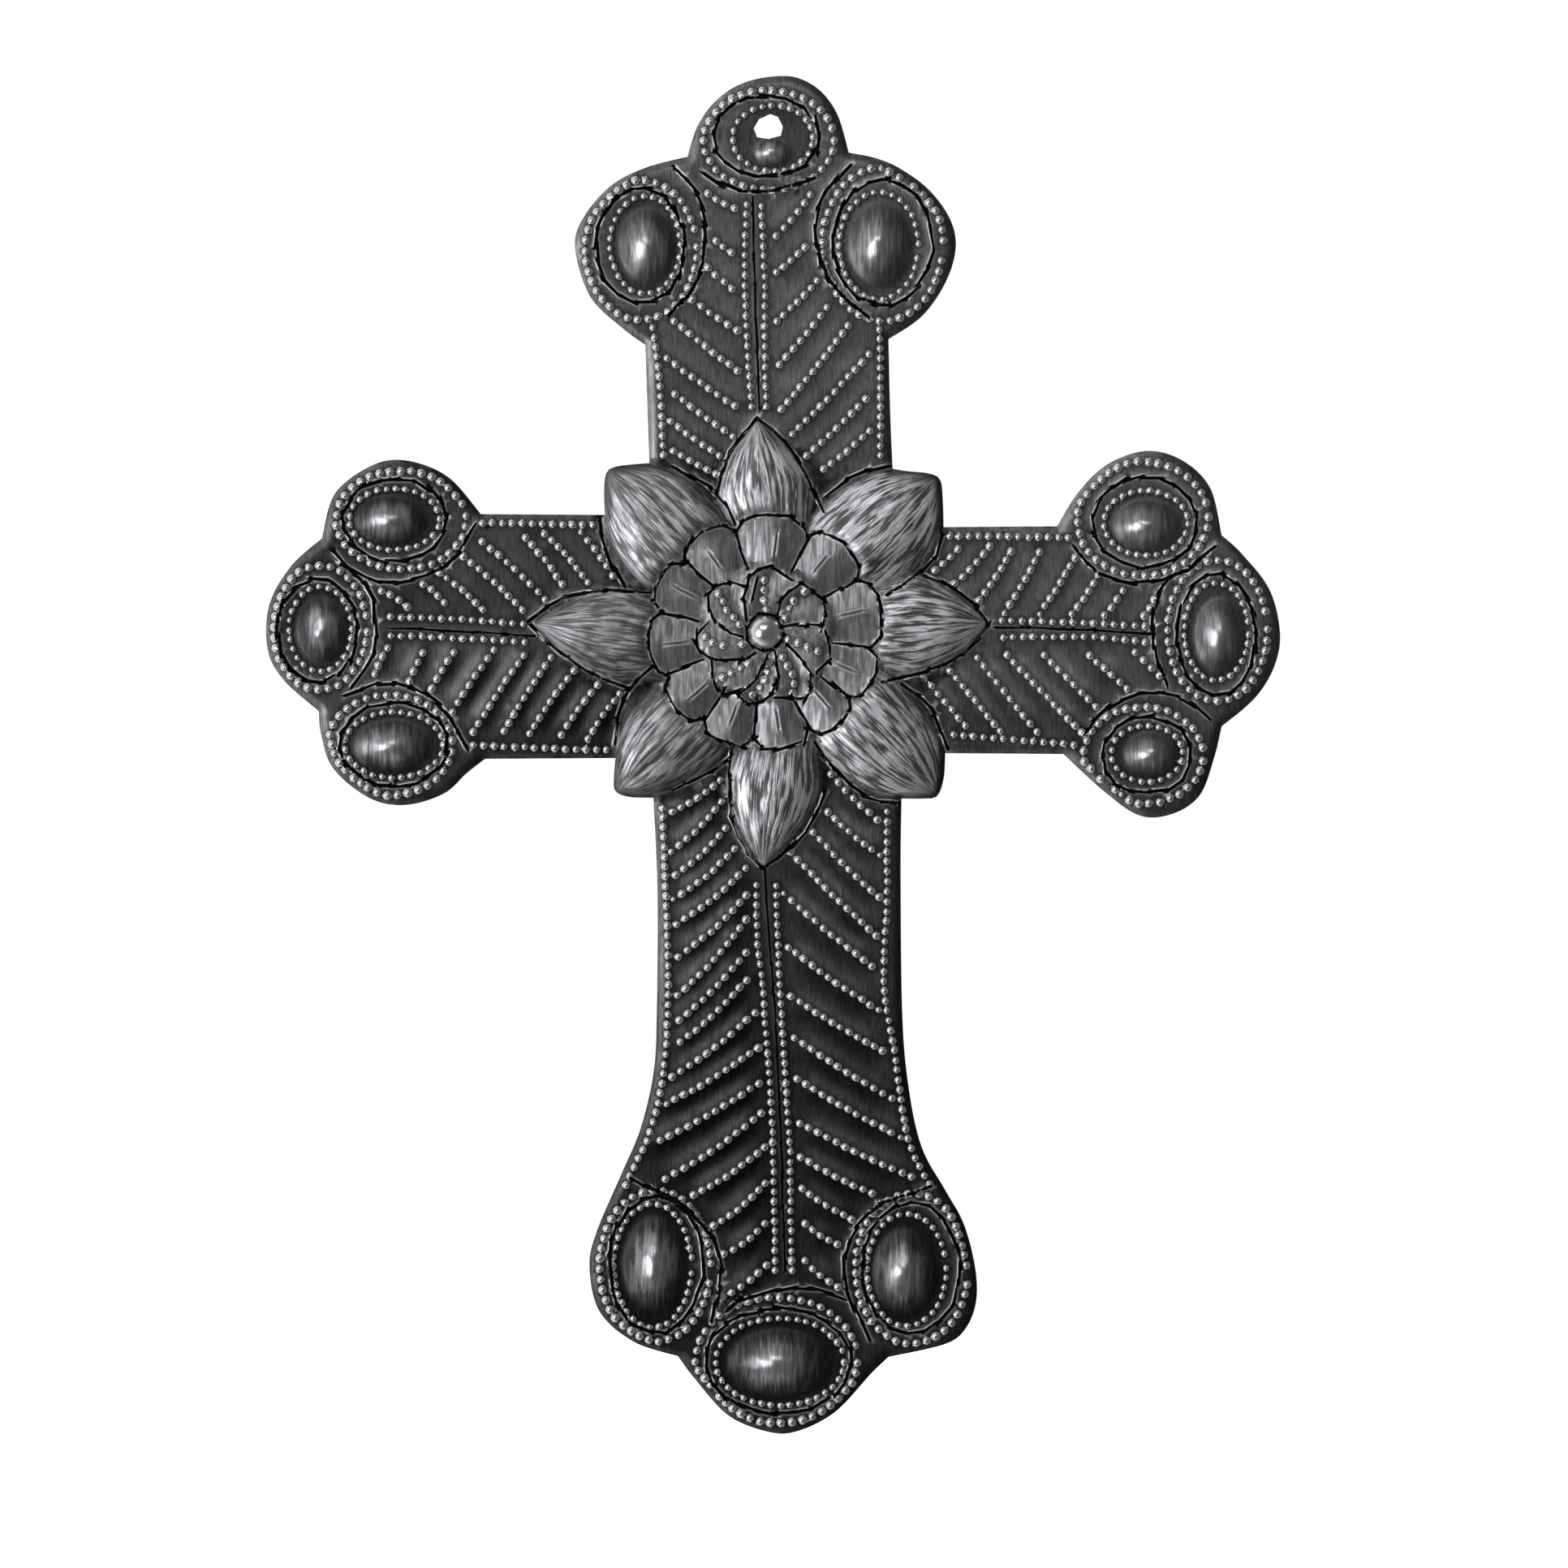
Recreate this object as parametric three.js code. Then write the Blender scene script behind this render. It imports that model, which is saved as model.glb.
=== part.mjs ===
// A wall cross cut by hand from one sheet of steel and worked with punch, chisel and hammer:
// oval bosses at the ends of the arms, a layered flower at the crossing, herringbone ridges
// between, and an edge that is turned back all round. It is one sheet, so it is one solid.
// Millimetres. X runs to the right and Z up as seen from the front, and the front faces -Y.
// The origin is the middle of the hanging hole, on the back of the sheet.
import * as THREE from "three";

// Driving dimensions
const SHEET_THICKNESS = 1.2;
const EDGE_TURN = 0.9; // how far the cut edge bends back from the ground of the sheet
const EDGE_BAND = 2.2; // width of the turned band
const CUT_STEP = 5.5; // spacing of the places along the cut edge
const RIDGE_RISE = 0.9; // a ridge that carries a row of punch marks
const RIDGE_STEP = 7; // spacing of the places along a ridge
const BORDER_RISE = 0.6; // the lower ridges beside the edges and the midribs
const BORDER_STEP = 8;
const MIDRIB_HALF_WIDTH = 2.8; // from a midrib's chisel line to the ridge on each side of it
const CHISEL_DEPTH = 0.25; // how far a chisel line goes below the ground
const DOME_RISE = 0.5; // height of a boss, as a share of its shorter inner half axis
const DOME_SPREAD = 0.7; // foot of the dome, as a share of the inner ring
const OVAL_SPOKES = 14; // places round each oval of a boss, at the same angles on all of them
const PETAL_RISE = 3.8; // crest of the eight long petals
const PETAL_EDGE = 0.4; // their edge, above the ground
const FLOWER_MIDDLE = [-0.6, -124.6];
const CLEARANCE = 1.7; // smallest distance between two places of the net of points

// The cut edge, clockwise from the top. Each stretch is a smooth curve through its places,
// and the stretches meet at corners.
const CUT_EDGE = {
  topLobe: [
    [-19.8, -7.2], [-17.4, 0.2], [-13.2, 6.2], [-7.4, 10.4], [-0.4, 12.4],
    [6.8, 12.4], [12.8, 9.2], [17.2, 3.2], [20, -6.2],
  ],
  upperRightLobe: [
    [20, -6.2], [26.8, -7.6], [32.8, -10.2], [39.8, -15.4], [45, -22.6],
    [46.4, -29.8], [43.8, -38.4], [38, -46.6], [29.8, -52.2],
  ],
  upperArmRightSide: [[29.8, -52.2], [30.2, -69.4], [30.8, -84.2]],
  northEastPetal: [
    [30.8, -84.2], [34.4, -84.8], [40, -85.4], [42.6, -87], [43.2, -91.8], [43.4, -98.6],
  ],
  rightArmTop: [[43.4, -98.6], [71.4, -98.4]],
  rightUpperLobe: [
    [71.4, -98.4], [76.8, -89.8], [84, -83], [93.6, -79.8], [102.4, -82.2], [109.2, -89],
    [112, -100.6],
  ],
  rightMiddleLobe: [
    [112, -100.6], [117, -105.2], [123.8, -114], [126.4, -124.6], [125, -133],
    [120.2, -140.8], [112, -147.8],
  ],
  rightLowerLobe: [
    [112, -147.8], [110.2, -155.4], [106.6, -164.8], [99.8, -169.4], [91.8, -169.8],
    [83, -163.8], [73, -154.6],
  ],
  rightArmBottom: [[73, -154.6], [43.8, -154.4]],
  southEastPetal: [
    [43.8, -154.4], [43.4, -160.8], [41.8, -165], [38.8, -165.6], [33, -165.6],
  ],
  lowerArmRightSide: [
    [33, -165.6], [32.8, -184.4], [33.2, -218.6], [34.8, -237], [38, -251.6],
    [43.8, -262.2], [48.4, -270.6], [51.2, -281.4], [51.4, -289.8], [48.8, -296.4],
    [43.8, -300.2], [29.8, -303.4],
  ],
  bottomLobe: [
    [29.8, -303.4], [25.6, -307.4], [16.6, -317], [7, -321.8], [-0.2, -321.8],
    [-9.8, -317.8], [-18, -308.8], [-22.2, -303.2],
  ],
  lowerArmLeftSide: [
    [-22.2, -303.2], [-33.2, -299.6], [-41.6, -292], [-44, -281], [-42.2, -272.4],
    [-36.2, -258.4], [-31.4, -247], [-28.2, -233.2], [-27.4, -218.6], [-27.2, -189],
    [-28.2, -165.4],
  ],
  southWestPetal: [
    [-28.2, -165.4], [-34.2, -165.2], [-37.6, -163.8], [-38, -160.8], [-37.6, -155.6],
  ],
  leftArmBottom: [[-37.6, -155.6], [-69.8, -155.8]],
  leftLowerLobe: [
    [-69.8, -155.8], [-74.4, -159.4], [-80, -164.4], [-89.6, -167.2], [-98.4, -165.4],
    [-107.2, -158.2], [-110.2, -149.8], [-110.8, -144],
  ],
  leftMiddleLobe: [
    [-110.8, -144], [-119.4, -136.4], [-123.4, -128.8], [-123, -117.8], [-117.6, -108.2],
    [-110, -101.4],
  ],
  leftUpperLobe: [
    [-110, -101.4], [-107.6, -91.8], [-103, -86.6], [-95, -82.4], [-87, -82.6],
    [-78.4, -86.6], [-70.8, -95.4],
  ],
  leftArmTop: [[-70.8, -95.4], [-40.2, -95.6]],
  northWestPetal: [
    [-40.2, -95.6], [-40.4, -89.8], [-39.8, -85.2], [-37.2, -83.6], [-29.2, -82.8],
  ],
  upperArmLeftSide: [[-29.2, -82.8], [-30.2, -53.6]],
  upperLeftLobe: [
    [-30.2, -53.6], [-36.2, -49.2], [-44, -41.4], [-47.6, -29], [-44.8, -21.2],
    [-38.2, -14], [-29.8, -9.8], [-19.8, -7.2],
  ],
};

// The hanging hole is a ragged hexagon, with flat sheet round it for the nail's head.
const HANGING_HOLE = [
  [-3.5, -0.3], [-2.6, -2.5], [0.2, -2.9], [3.2, -2.1], [3.7, 0.2], [2.5, 2.6],
  [0.6, 3.3], [-2.1, 2.1],
];
const HOLE_LAND = 1.95; // the flat land, as a scale of the hole
const LAND_FOOT = -2; // below this height the small boss under the hole begins

// The twelve oval bosses. Each oval is [x, z, half width, half height]: the inner ring of
// punch marks, the chiselled oval and the outer ring. The dome stands at [x, z].
const BOSSES = {
  upperLeft: {
    inner: [-30.2, -29, 8.6, 12], oval: [-31.3, -29.2, 10.9, 14.2],
    outer: [-31.4, -29.9, 14, 17.7], dome: [-29.8, -29.2],
  },
  upperRight: {
    inner: [27.5, -29.2, 9.7, 13.2], oval: [28.4, -28.5, 12.2, 15.5],
    outer: [28.4, -28.8, 14.8, 19], dome: [27.6, -29],
  },
  leftUpper: {
    inner: [-92.1, -96.7, 11.1, 7.5], oval: [-91.9, -96.9, 12.9, 10.3],
    outer: [-90.4, -96.9, 16, 12.1], dome: [-93, -96.8],
  },
  leftMiddle: {
    inner: [-110.3, -123.8, 7.7, 10.4], oval: [-111.1, -124.2, 9.9, 12.8],
    outer: [-110.4, -123.5, 11.6, 15.3], dome: [-110, -123.8],
  },
  leftLower: {
    inner: [-92.2, -152.3, 12, 8.1], oval: [-92.2, -152.3, 13.4, 10.3],
    outer: [-93.1, -152.4, 15.3, 12.4], dome: [-92.6, -152.6],
  },
  rightUpper: {
    inner: [93.3, -97.6, 10.3, 8], oval: [93.1, -97.3, 12.9, 11.3],
    outer: [92.5, -96.6, 16.1, 14], dome: [93.2, -98.2],
  },
  rightMiddle: {
    inner: [110.7, -124.4, 7.9, 12], oval: [110.7, -125.3, 9.7, 15.1],
    outer: [110.9, -124.2, 12.3, 17.4], dome: [111.4, -125.4],
  },
  rightLower: {
    inner: [93.6, -154.5, 8.8, 6.9], oval: [93.6, -155, 11.2, 9.4],
    outer: [92.7, -154.9, 14.7, 11.9], dome: [94.6, -154.6],
  },
  lowerLeft: {
    inner: [-28.3, -280.8, 9.5, 15.2], oval: [-27.5, -280.6, 11.7, 16.8],
    outer: [-27.7, -280.9, 13.7, 18.7], dome: [-28, -280.4],
  },
  lowerRight: {
    inner: [34.3, -281.8, 9.7, 13.8], oval: [35.3, -281.4, 12.1, 16.2],
    outer: [35.6, -281.5, 14, 18.5], dome: [33.6, -282.4],
  },
  bottom: {
    inner: [3, -304.5, 15.8, 10.7], oval: [2.7, -304.3, 18.1, 12.9],
    outer: [2.2, -304.1, 20, 15.5], dome: [2.6, -304.8],
  },
  top: {
    inner: [1.3, -2.7, 9.9, 8.1], oval: [-0.3, -2.3, 13.1, 10.1],
    outer: [0.3, -3.2, 16.1, 12.2], dome: [1.1, -6.2], domeRadii: [5.4, 3.4], rise: 2.4,
  },
};

// The eight long petals: the middle of the root, the tip, the half width, and a power that
// is low for a pointed petal and high for the blunt ones that reach past the arms.
const LONG_PETALS = [
  { root: [0.4, -97], tip: [-2.6, -72.2], halfWidth: 12.6, bluntness: 1.7 },
  { root: [13, -112.6], tip: [42.2, -86.4], halfWidth: 14.4, bluntness: 3.2 },
  { root: [27, -123.6], tip: [54.6, -122.4], halfWidth: 13.4, bluntness: 1.7 },
  { root: [14.5, -137], tip: [42, -164.6], halfWidth: 13.4, bluntness: 3.2 },
  { root: [2.4, -152.4], tip: [-1.2, -182.8], halfWidth: 12, bluntness: 1.7 },
  { root: [-12.5, -139.5], tip: [-37.4, -164.4], halfWidth: 12.4, bluntness: 3.2 },
  { root: [-27, -126.4], tip: [-58.2, -122.2], halfWidth: 12.4, bluntness: 1.7 },
  { root: [-14, -111], tip: [-39.6, -84.4], halfWidth: 14.2, bluntness: 3.2 },
];

// The small ring of the flower: the angle of each cut between two petals, in degrees
// anticlockwise from +X. The swirl inside it has evenly spaced petals that lean.
const RING_CUTS = [106, 66, 30, -8, -38, -66, -96, -125, -156, -191, -221];
const RING_RADIUS = 29;
const RING_CUT_RADIUS = 26;
const RING_INNER_RADIUS = 17.2;
const RING_RISE = 3.4;
const RING_CREASE = 0.6; // the pinched crease along the middle of each small petal
const RING_CUT_RISE = 1.7; // bottom of the cuts between the small petals
const RING_MIDDLE_RADIUS = 22;
const SWIRL_PETALS = 8;
const SWIRL_START = 15; // angle of the first cut of the swirl, in degrees
const SWIRL_LEAN = -26; // how far a cut turns between the knob and the rim, in degrees
const SWIRL_RADIUS = 15.4;
const SWIRL_RISE = 3.9;
const KNOB_RADIUS = 4;
const KNOB_RISE = 5.6;

// The chisel line along the middle of each arm.
const MIDRIBS = {
  upper: [[-3.8, -17.4], [-2, -69.4]],
  lower: [[-0.8, -185.8], [1, -207.2], [2.6, -232.4], [4, -274.2], [4.2, -283]],
  left: [[-92.6, -123.6], [-60.4, -125]],
  right: [[57.6, -123.2], [94, -124.6]],
};

// The ridges that follow the edges of the arms.
const BORDER_RIDGES = {
  leftArmTop: [[-70.4, -98.2], [-43.2, -98.6]],
  leftArmBottom: [[-72.6, -152.4], [-42, -153]],
  rightArmTop: [[46.8, -101.6], [76.6, -101.6]],
  rightArmBottom: [[45.8, -150.4], [75.4, -151.4]],
  upperArmLeft: [[-28, -50], [-25.8, -81]],
  upperArmRight: [[27, -52], [27.6, -81]],
  lowerArmLeft: [
    [-25.4, -169.8], [-24.4, -206.8], [-24.6, -225], [-26.2, -240], [-30, -251], [-34, -259],
  ],
  lowerArmRight: [
    [29.4, -170.8], [29.2, -200], [29.8, -222], [33, -243], [37, -256], [41, -263],
  ],
};

// The herringbone ridges, one [x, z, x, z] each: from the midrib or the flower outwards.
const HERRINGBONE = {
  upperLeft: [
    [-8.2, -20, -14.8, -16.4], [-7, -32, -12.8, -28], [-6.6, -41.4, -14.8, -34.6],
    [-7.6, -50.2, -18.6, -42.4], [-7.4, -60, -23, -47.8], [-8, -68.8, -24.8, -57],
    [-8.6, -76.2, -24.8, -64.2], [-11.8, -81, -23.8, -72.6], [-12.8, -85.6, -23.2, -79.8],
  ],
  upperRight: [
    [2.2, -26.8, 10.6, -16.6], [1.2, -37.2, 9.2, -29.6], [2.2, -47.8, 12.2, -37.8],
    [2.8, -58.6, 16.2, -42.4], [3.4, -69.6, 21.4, -47], [6, -75.8, 25, -56],
    [9.6, -81, 24.2, -67], [13.8, -84.4, 25.2, -74.8],
  ],
  leftUpper: [
    [-89, -118.2, -95.4, -114.4], [-79.8, -117.2, -85, -112.8], [-70.2, -119, -81, -109.8],
    [-60.4, -119, -75, -106], [-54.8, -116.4, -70.4, -102.2], [-50.6, -112.8, -59.8, -101.2],
    [-44.2, -112.4, -55, -100.2],
  ],
  leftLower: [
    [-93.6, -128.4, -96.8, -135], [-83.6, -127.6, -88.4, -136.6],
    [-75.8, -127.4, -82.8, -138.4], [-67.4, -129, -77.8, -144.2],
    [-58.6, -128.2, -72.6, -149.2], [-53.4, -130.8, -65, -149],
    [-47.8, -134, -58.8, -149.6], [-41.8, -137.6, -51, -149.8],
  ],
  rightUpper: [
    [46.2, -112.6, 54.8, -103.4], [52.2, -116.8, 60, -104.6], [58.4, -119.8, 67, -104.8],
    [67, -120, 75.8, -106.2], [75, -120, 81.6, -110.4], [83, -120.2, 87.6, -114.4],
  ],
  rightLower: [
    [38.6, -135.8, 48.8, -147.6], [45, -134, 57.4, -149], [51.6, -130.8, 66.4, -149.2],
    [59, -130.2, 77.4, -149.4], [68.2, -130.2, 81, -143], [79.4, -130.2, 88.6, -138.4],
    [90.6, -129.6, 96.6, -135.2],
  ],
  lowerLeft: [
    [-11.6, -161, -25.8, -169.8], [-11.4, -166.2, -23.8, -178.6],
    [-10.4, -172.8, -22.8, -184.4], [-8.2, -178, -23.2, -190.4],
    [-5.4, -182.8, -22.6, -196.6], [-5.2, -189.4, -22, -204.6],
    [-5.4, -195.4, -22.2, -214.2], [-5.4, -203.6, -23, -222],
    [-5.2, -210.4, -23.6, -229], [-3.2, -218.4, -24.2, -235.8],
    [-2, -228, -26.4, -243.6], [-2, -235.8, -28.6, -251.2], [-1.6, -243.2, -29.2, -258.2],
    [-0.8, -251.2, -19, -263.4], [-0.6, -260.4, -13.4, -271],
    [-0.8, -270.4, -10.8, -278], [-0.4, -280.6, -11.4, -288.6],
  ],
  lowerRight: [
    [15.6, -159.6, 27, -170.8], [14.8, -168.8, 27.6, -179.6], [11.2, -173.8, 27.4, -190],
    [5.8, -178.8, 26.8, -199.4], [4, -189, 25.8, -207], [5, -202.2, 27.4, -217.8],
    [5.8, -214.4, 28.4, -227.8], [6.6, -224.6, 30.6, -239.6], [7.2, -234.8, 34.8, -250.2],
    [7.8, -245.6, 35.4, -259], [8, -254, 25.8, -263], [8.4, -261.8, 20.8, -269.4],
    [9.2, -270.4, 17.2, -275.6], [9.2, -279.6, 17.4, -286.2],
  ],
};

// A smooth curve through the places of a stretch, as places about a step apart.
function smoothPlaces(stretch, step) {
  const curve = new THREE.SplineCurve(stretch.map(([x, z]) => new THREE.Vector2(x, z)));
  const count = Math.max(1, Math.round(curve.getLength() / step));
  return curve.getSpacedPoints(count).map((p) => [p.x, p.y]);
}

const cutEdge = Object.values(CUT_EDGE).flatMap((stretch) =>
  smoothPlaces(stretch, CUT_STEP).slice(0, -1),
);

function insideLoop(x, z, loop) {
  let inside = false;
  loop.forEach(([x1, z1], i) => {
    const [x2, z2] = loop[(i + 1) % loop.length];
    if (z1 > z !== z2 > z && x < ((x2 - x1) * (z - z1)) / (z2 - z1) + x1) inside = !inside;
  });
  return inside;
}

function distanceToSegment(x, z, [x1, z1], [x2, z2]) {
  const length2 = (x2 - x1) ** 2 + (z2 - z1) ** 2 || 1;
  const t = ((x - x1) * (x2 - x1) + (z - z1) * (z2 - z1)) / length2;
  const s = Math.min(1, Math.max(0, t));
  return Math.hypot(x - x1 - s * (x2 - x1), z - z1 - s * (z2 - z1));
}

function distanceToLoop(x, z, loop) {
  return Math.min(...loop.map((p, i) => distanceToSegment(x, z, p, loop[(i + 1) % loop.length])));
}

// 0 in the middle of an oval, and 1 on it.
function ovalShare(x, z, [cx, cz, a, b]) {
  return Math.hypot((x - cx) / a, (z - cz) / b);
}

function petalHalfWidth(petal, t) {
  const widest = 0.3; // share of the length at which the petal is widest
  if (t <= widest) return petal.halfWidth * (0.86 + (0.14 * t) / widest);
  return petal.halfWidth * (1 - ((t - widest) / (1 - widest)) ** petal.bluntness);
}

// A place on a petal: t runs from root to tip, and side from -1 to 1 across it.
function petalPlace(petal, t, side) {
  const [dx, dz] = [petal.tip[0] - petal.root[0], petal.tip[1] - petal.root[1]];
  const length = Math.hypot(dx, dz);
  const across = (side * petalHalfWidth(petal, t)) / length;
  return [petal.root[0] + t * dx - across * dz, petal.root[1] + t * dz + across * dx];
}

function insidePetal(petal, x, z, margin) {
  const [dx, dz] = [petal.tip[0] - petal.root[0], petal.tip[1] - petal.root[1]];
  const length = Math.hypot(dx, dz);
  const t = ((x - petal.root[0]) * dx + (z - petal.root[1]) * dz) / length ** 2;
  const across = Math.abs((x - petal.root[0]) * dz - (z - petal.root[1]) * dx) / length;
  if (t < 0 || t > 1 + margin / length) return false;
  return across < petalHalfWidth(petal, Math.min(t, 1)) + margin;
}

function flowerRadius(x, z) {
  return Math.hypot(x - FLOWER_MIDDLE[0], z - FLOWER_MIDDLE[1]);
}

function flowerPlace(radius, degrees) {
  const angle = THREE.MathUtils.degToRad(degrees);
  return [
    FLOWER_MIDDLE[0] + radius * Math.cos(angle),
    FLOWER_MIDDLE[1] + radius * Math.sin(angle),
  ];
}

// The net of places: each has x, z and rise, its height above the ground of the sheet.
const places = [];

function addPlace([x, z], rise, clearance = CLEARANCE) {
  if (places.some((p) => Math.hypot(p.x - x, p.z - z) < clearance)) return;
  if (!insideLoop(x, z, cutEdge) || distanceToLoop(x, z, cutEdge) < EDGE_BAND + 0.6) return;
  if (insideLoop(x, z, HANGING_HOLE)) return;
  places.push({ x, z, rise });
}

function onBossOrFlower(x, z) {
  return (
    Object.values(BOSSES).some((boss) => ovalShare(x, z, boss.outer) < 1.12) ||
    LONG_PETALS.some((petal) => insidePetal(petal, x, z, 1.6)) ||
    flowerRadius(x, z) < RING_RADIUS + 2
  );
}

// The cut edge and the hole come first, and the line where the edge starts to turn back.
cutEdge.forEach(([x, z]) => places.push({ x, z, rise: -EDGE_TURN }));
HANGING_HOLE.forEach(([x, z]) => places.push({ x, z, rise: 0 }));
cutEdge.forEach(([x1, z1], i) => {
  const [x0, z0] = cutEdge.at(i - 1);
  const [x2, z2] = cutEdge[(i + 1) % cutEdge.length];
  const length = Math.hypot(x2 - x0, z2 - z0);
  const x = x1 + ((z2 - z0) / length) * EDGE_BAND;
  const z = z1 - ((x2 - x0) / length) * EDGE_BAND;
  if (distanceToLoop(x, z, cutEdge) > EDGE_BAND * 0.8 && insideLoop(x, z, cutEdge))
    if (places.every((p) => Math.hypot(p.x - x, p.z - z) > CLEARANCE))
      places.push({ x, z, rise: 0 });
});
HANGING_HOLE.forEach(([x1, z1], i) => {
  const [x2, z2] = HANGING_HOLE[(i + 1) % HANGING_HOLE.length];
  for (const [x, z] of [[x1, z1], [(x1 + x2) / 2, (z1 + z2) / 2]])
    if (z * HOLE_LAND > LAND_FOOT) addPlace([x * HOLE_LAND, z * HOLE_LAND], 0, 1);
});

// Bosses: a dome, a dish round it, and two ridges with a chiselled oval between them.
function addOval([cx, cz, a, b], scale, rise, count = OVAL_SPOKES) {
  for (let i = 0; i < count; i++) {
    const angle = (i / count) * 2 * Math.PI;
    addPlace([cx + a * scale * Math.cos(angle), cz + b * scale * Math.sin(angle)], rise, 1.2);
  }
}

for (const boss of Object.values(BOSSES)) {
  const radii = boss.domeRadii ?? boss.inner.slice(2).map((r) => r * DOME_SPREAD);
  const rise = boss.rise ?? Math.min(boss.inner[2], boss.inner[3]) * DOME_RISE;
  const dome = [...boss.dome, ...radii];
  addPlace(boss.dome, rise);
  addOval(dome, 0.36, rise * 0.86, OVAL_SPOKES / 2);
  addOval(dome, 0.7, rise * 0.44);
  addOval(dome, 1, rise * 0.08);
  addOval(boss.inner, 1, RIDGE_RISE);
  addOval(boss.oval, 1, -CHISEL_DEPTH);
  addOval(boss.outer, 1, RIDGE_RISE * 0.8);
  addOval(boss.outer, 1.15, -CHISEL_DEPTH, OVAL_SPOKES / 2);
}

// The flower, from the knob outwards: each petal of the swirl rises from its cut to a crest.
addPlace(FLOWER_MIDDLE, KNOB_RISE);
for (let i = 0; i < 8; i++) {
  addPlace(flowerPlace(KNOB_RADIUS * 0.62, i * 45), KNOB_RISE - 0.8, 1);
  addPlace(flowerPlace(KNOB_RADIUS, i * 45 + 22.5), SWIRL_RISE - 1.6, 1);
}
for (let i = 0; i < SWIRL_PETALS; i++) {
  const cut = SWIRL_START + (i * 360) / SWIRL_PETALS;
  const half = 180 / SWIRL_PETALS;
  for (const share of [0.3, 0.65, 1]) {
    const radius = THREE.MathUtils.lerp(KNOB_RADIUS, SWIRL_RADIUS, share);
    const lean = SWIRL_LEAN * share;
    addPlace(flowerPlace(radius, cut + lean), SWIRL_RISE - 1.5, 1);
    addPlace(flowerPlace(radius, cut + lean + half * 0.7), SWIRL_RISE, 1);
    addPlace(flowerPlace(radius, cut + lean + half * 1.4), SWIRL_RISE - 0.2, 1);
  }
}
RING_CUTS.forEach((cut, i) => {
  const next = RING_CUTS[i + 1] ?? RING_CUTS[0] - 360;
  const at = (share) => THREE.MathUtils.lerp(cut, next, share);
  for (const radius of [RING_INNER_RADIUS, RING_MIDDLE_RADIUS, RING_CUT_RADIUS])
    addPlace(flowerPlace(radius, at(0)), RING_CUT_RISE, 1);
  for (const share of [0.25, 0.5, 0.75]) {
    const crease = share === 0.5 ? RING_CREASE : 0;
    addPlace(flowerPlace(RING_INNER_RADIUS, at(share)), RING_RISE - 1.1 + crease, 1);
    addPlace(flowerPlace(RING_MIDDLE_RADIUS, at(share)), RING_RISE - 0.5 + crease, 1);
    addPlace(flowerPlace(RING_RADIUS - 0.6, at(share)), RING_RISE + crease, 1);
    addPlace(flowerPlace(RING_RADIUS + 1.2, at(share)), PETAL_EDGE + 0.8, 1);
  }
  addPlace(flowerPlace(RING_CUT_RADIUS + 1.6, at(0)), PETAL_EDGE + 0.6, 1);
});

for (const petal of LONG_PETALS) {
  const outside = (place) => flowerRadius(...place) > RING_RADIUS + 1.6;
  const shape = (t) => (t < 0.62 ? 1 : 1 - ((t - 0.62) / 0.38) ** 2 * 0.9);
  const add = (t, side, rise) => {
    const place = petalPlace(petal, t, side);
    if (outside(place)) addPlace(place, rise, 1.3);
  };
  add(0.995, 0, PETAL_EDGE);
  for (const t of [0.04, 0.2, 0.38, 0.56, 0.72, 0.86]) {
    add(t, 0, PETAL_RISE * shape(t));
    for (const side of [-1, 1]) {
      add(t, side * 0.52, PETAL_RISE * shape(t) * 0.86);
      add(t, side * 0.86, PETAL_RISE * shape(t) * 0.46);
      const [x, z] = petalPlace(petal, t, side * 1.04);
      if (!LONG_PETALS.some((other) => other !== petal && insidePetal(other, x, z, -0.6)))
        add(t, side * 1.04, PETAL_EDGE - 0.5);
    }
  }
}

// A ridge or a groove along a line of places.
function addLine(line, rise, step, offset = 0) {
  const spaced = smoothPlaces(line, step);
  spaced.forEach(([x, z], i) => {
    const [x0, z0] = spaced[Math.max(0, i - 1)];
    const [x2, z2] = spaced[Math.min(spaced.length - 1, i + 1)];
    const length = Math.hypot(x2 - x0, z2 - z0);
    const place = [x - ((z2 - z0) / length) * offset, z + ((x2 - x0) / length) * offset];
    if (!onBossOrFlower(...place)) addPlace(place, rise);
  });
}

for (const line of Object.values(MIDRIBS)) {
  addLine(line, -CHISEL_DEPTH, BORDER_STEP);
  addLine(line, BORDER_RISE, BORDER_STEP, MIDRIB_HALF_WIDTH);
  addLine(line, BORDER_RISE, BORDER_STEP, -MIDRIB_HALF_WIDTH);
}
for (const line of Object.values(BORDER_RIDGES)) addLine(line, BORDER_RISE, BORDER_STEP);

// A ridge has a place at each end, and the places between them line up across all the
// ridges of the half arm, so that the faces run along the ridges and the valleys.
function addRidge([x1, z1, x2, z2], rise, direction) {
  const ends = [new THREE.Vector2(x1, z1), new THREE.Vector2(x2, z2)];
  const [first, last] = ends.map((end) => end.dot(direction) / RIDGE_STEP);
  const shares = [0, 1];
  for (let k = Math.ceil(first + 0.35); k < last - 0.35; k++)
    shares.push((k - first) / (last - first));
  for (const share of shares) {
    const place = ends[0].clone().lerp(ends[1], share).toArray();
    if (!onBossOrFlower(...place)) addPlace(place, rise);
  }
}

for (const ridges of Object.values(HERRINGBONE)) {
  const direction = new THREE.Vector2();
  for (const [x1, z1, x2, z2] of ridges) direction.add(new THREE.Vector2(x2 - x1, z2 - z1));
  direction.normalize();
  for (const ridge of ridges) addRidge(ridge, RIDGE_RISE, direction);
  ridges.slice(1).forEach((ridge, i) => {
    addRidge(ridge.map((value, k) => (value + ridges[i][k]) / 2), 0, direction);
  });
}

// Triangles over the net of places, by adding the places one at a time: the triangles
// whose circle holds the new place are taken out, and their hole is fanned to it.
let net = [];

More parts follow.
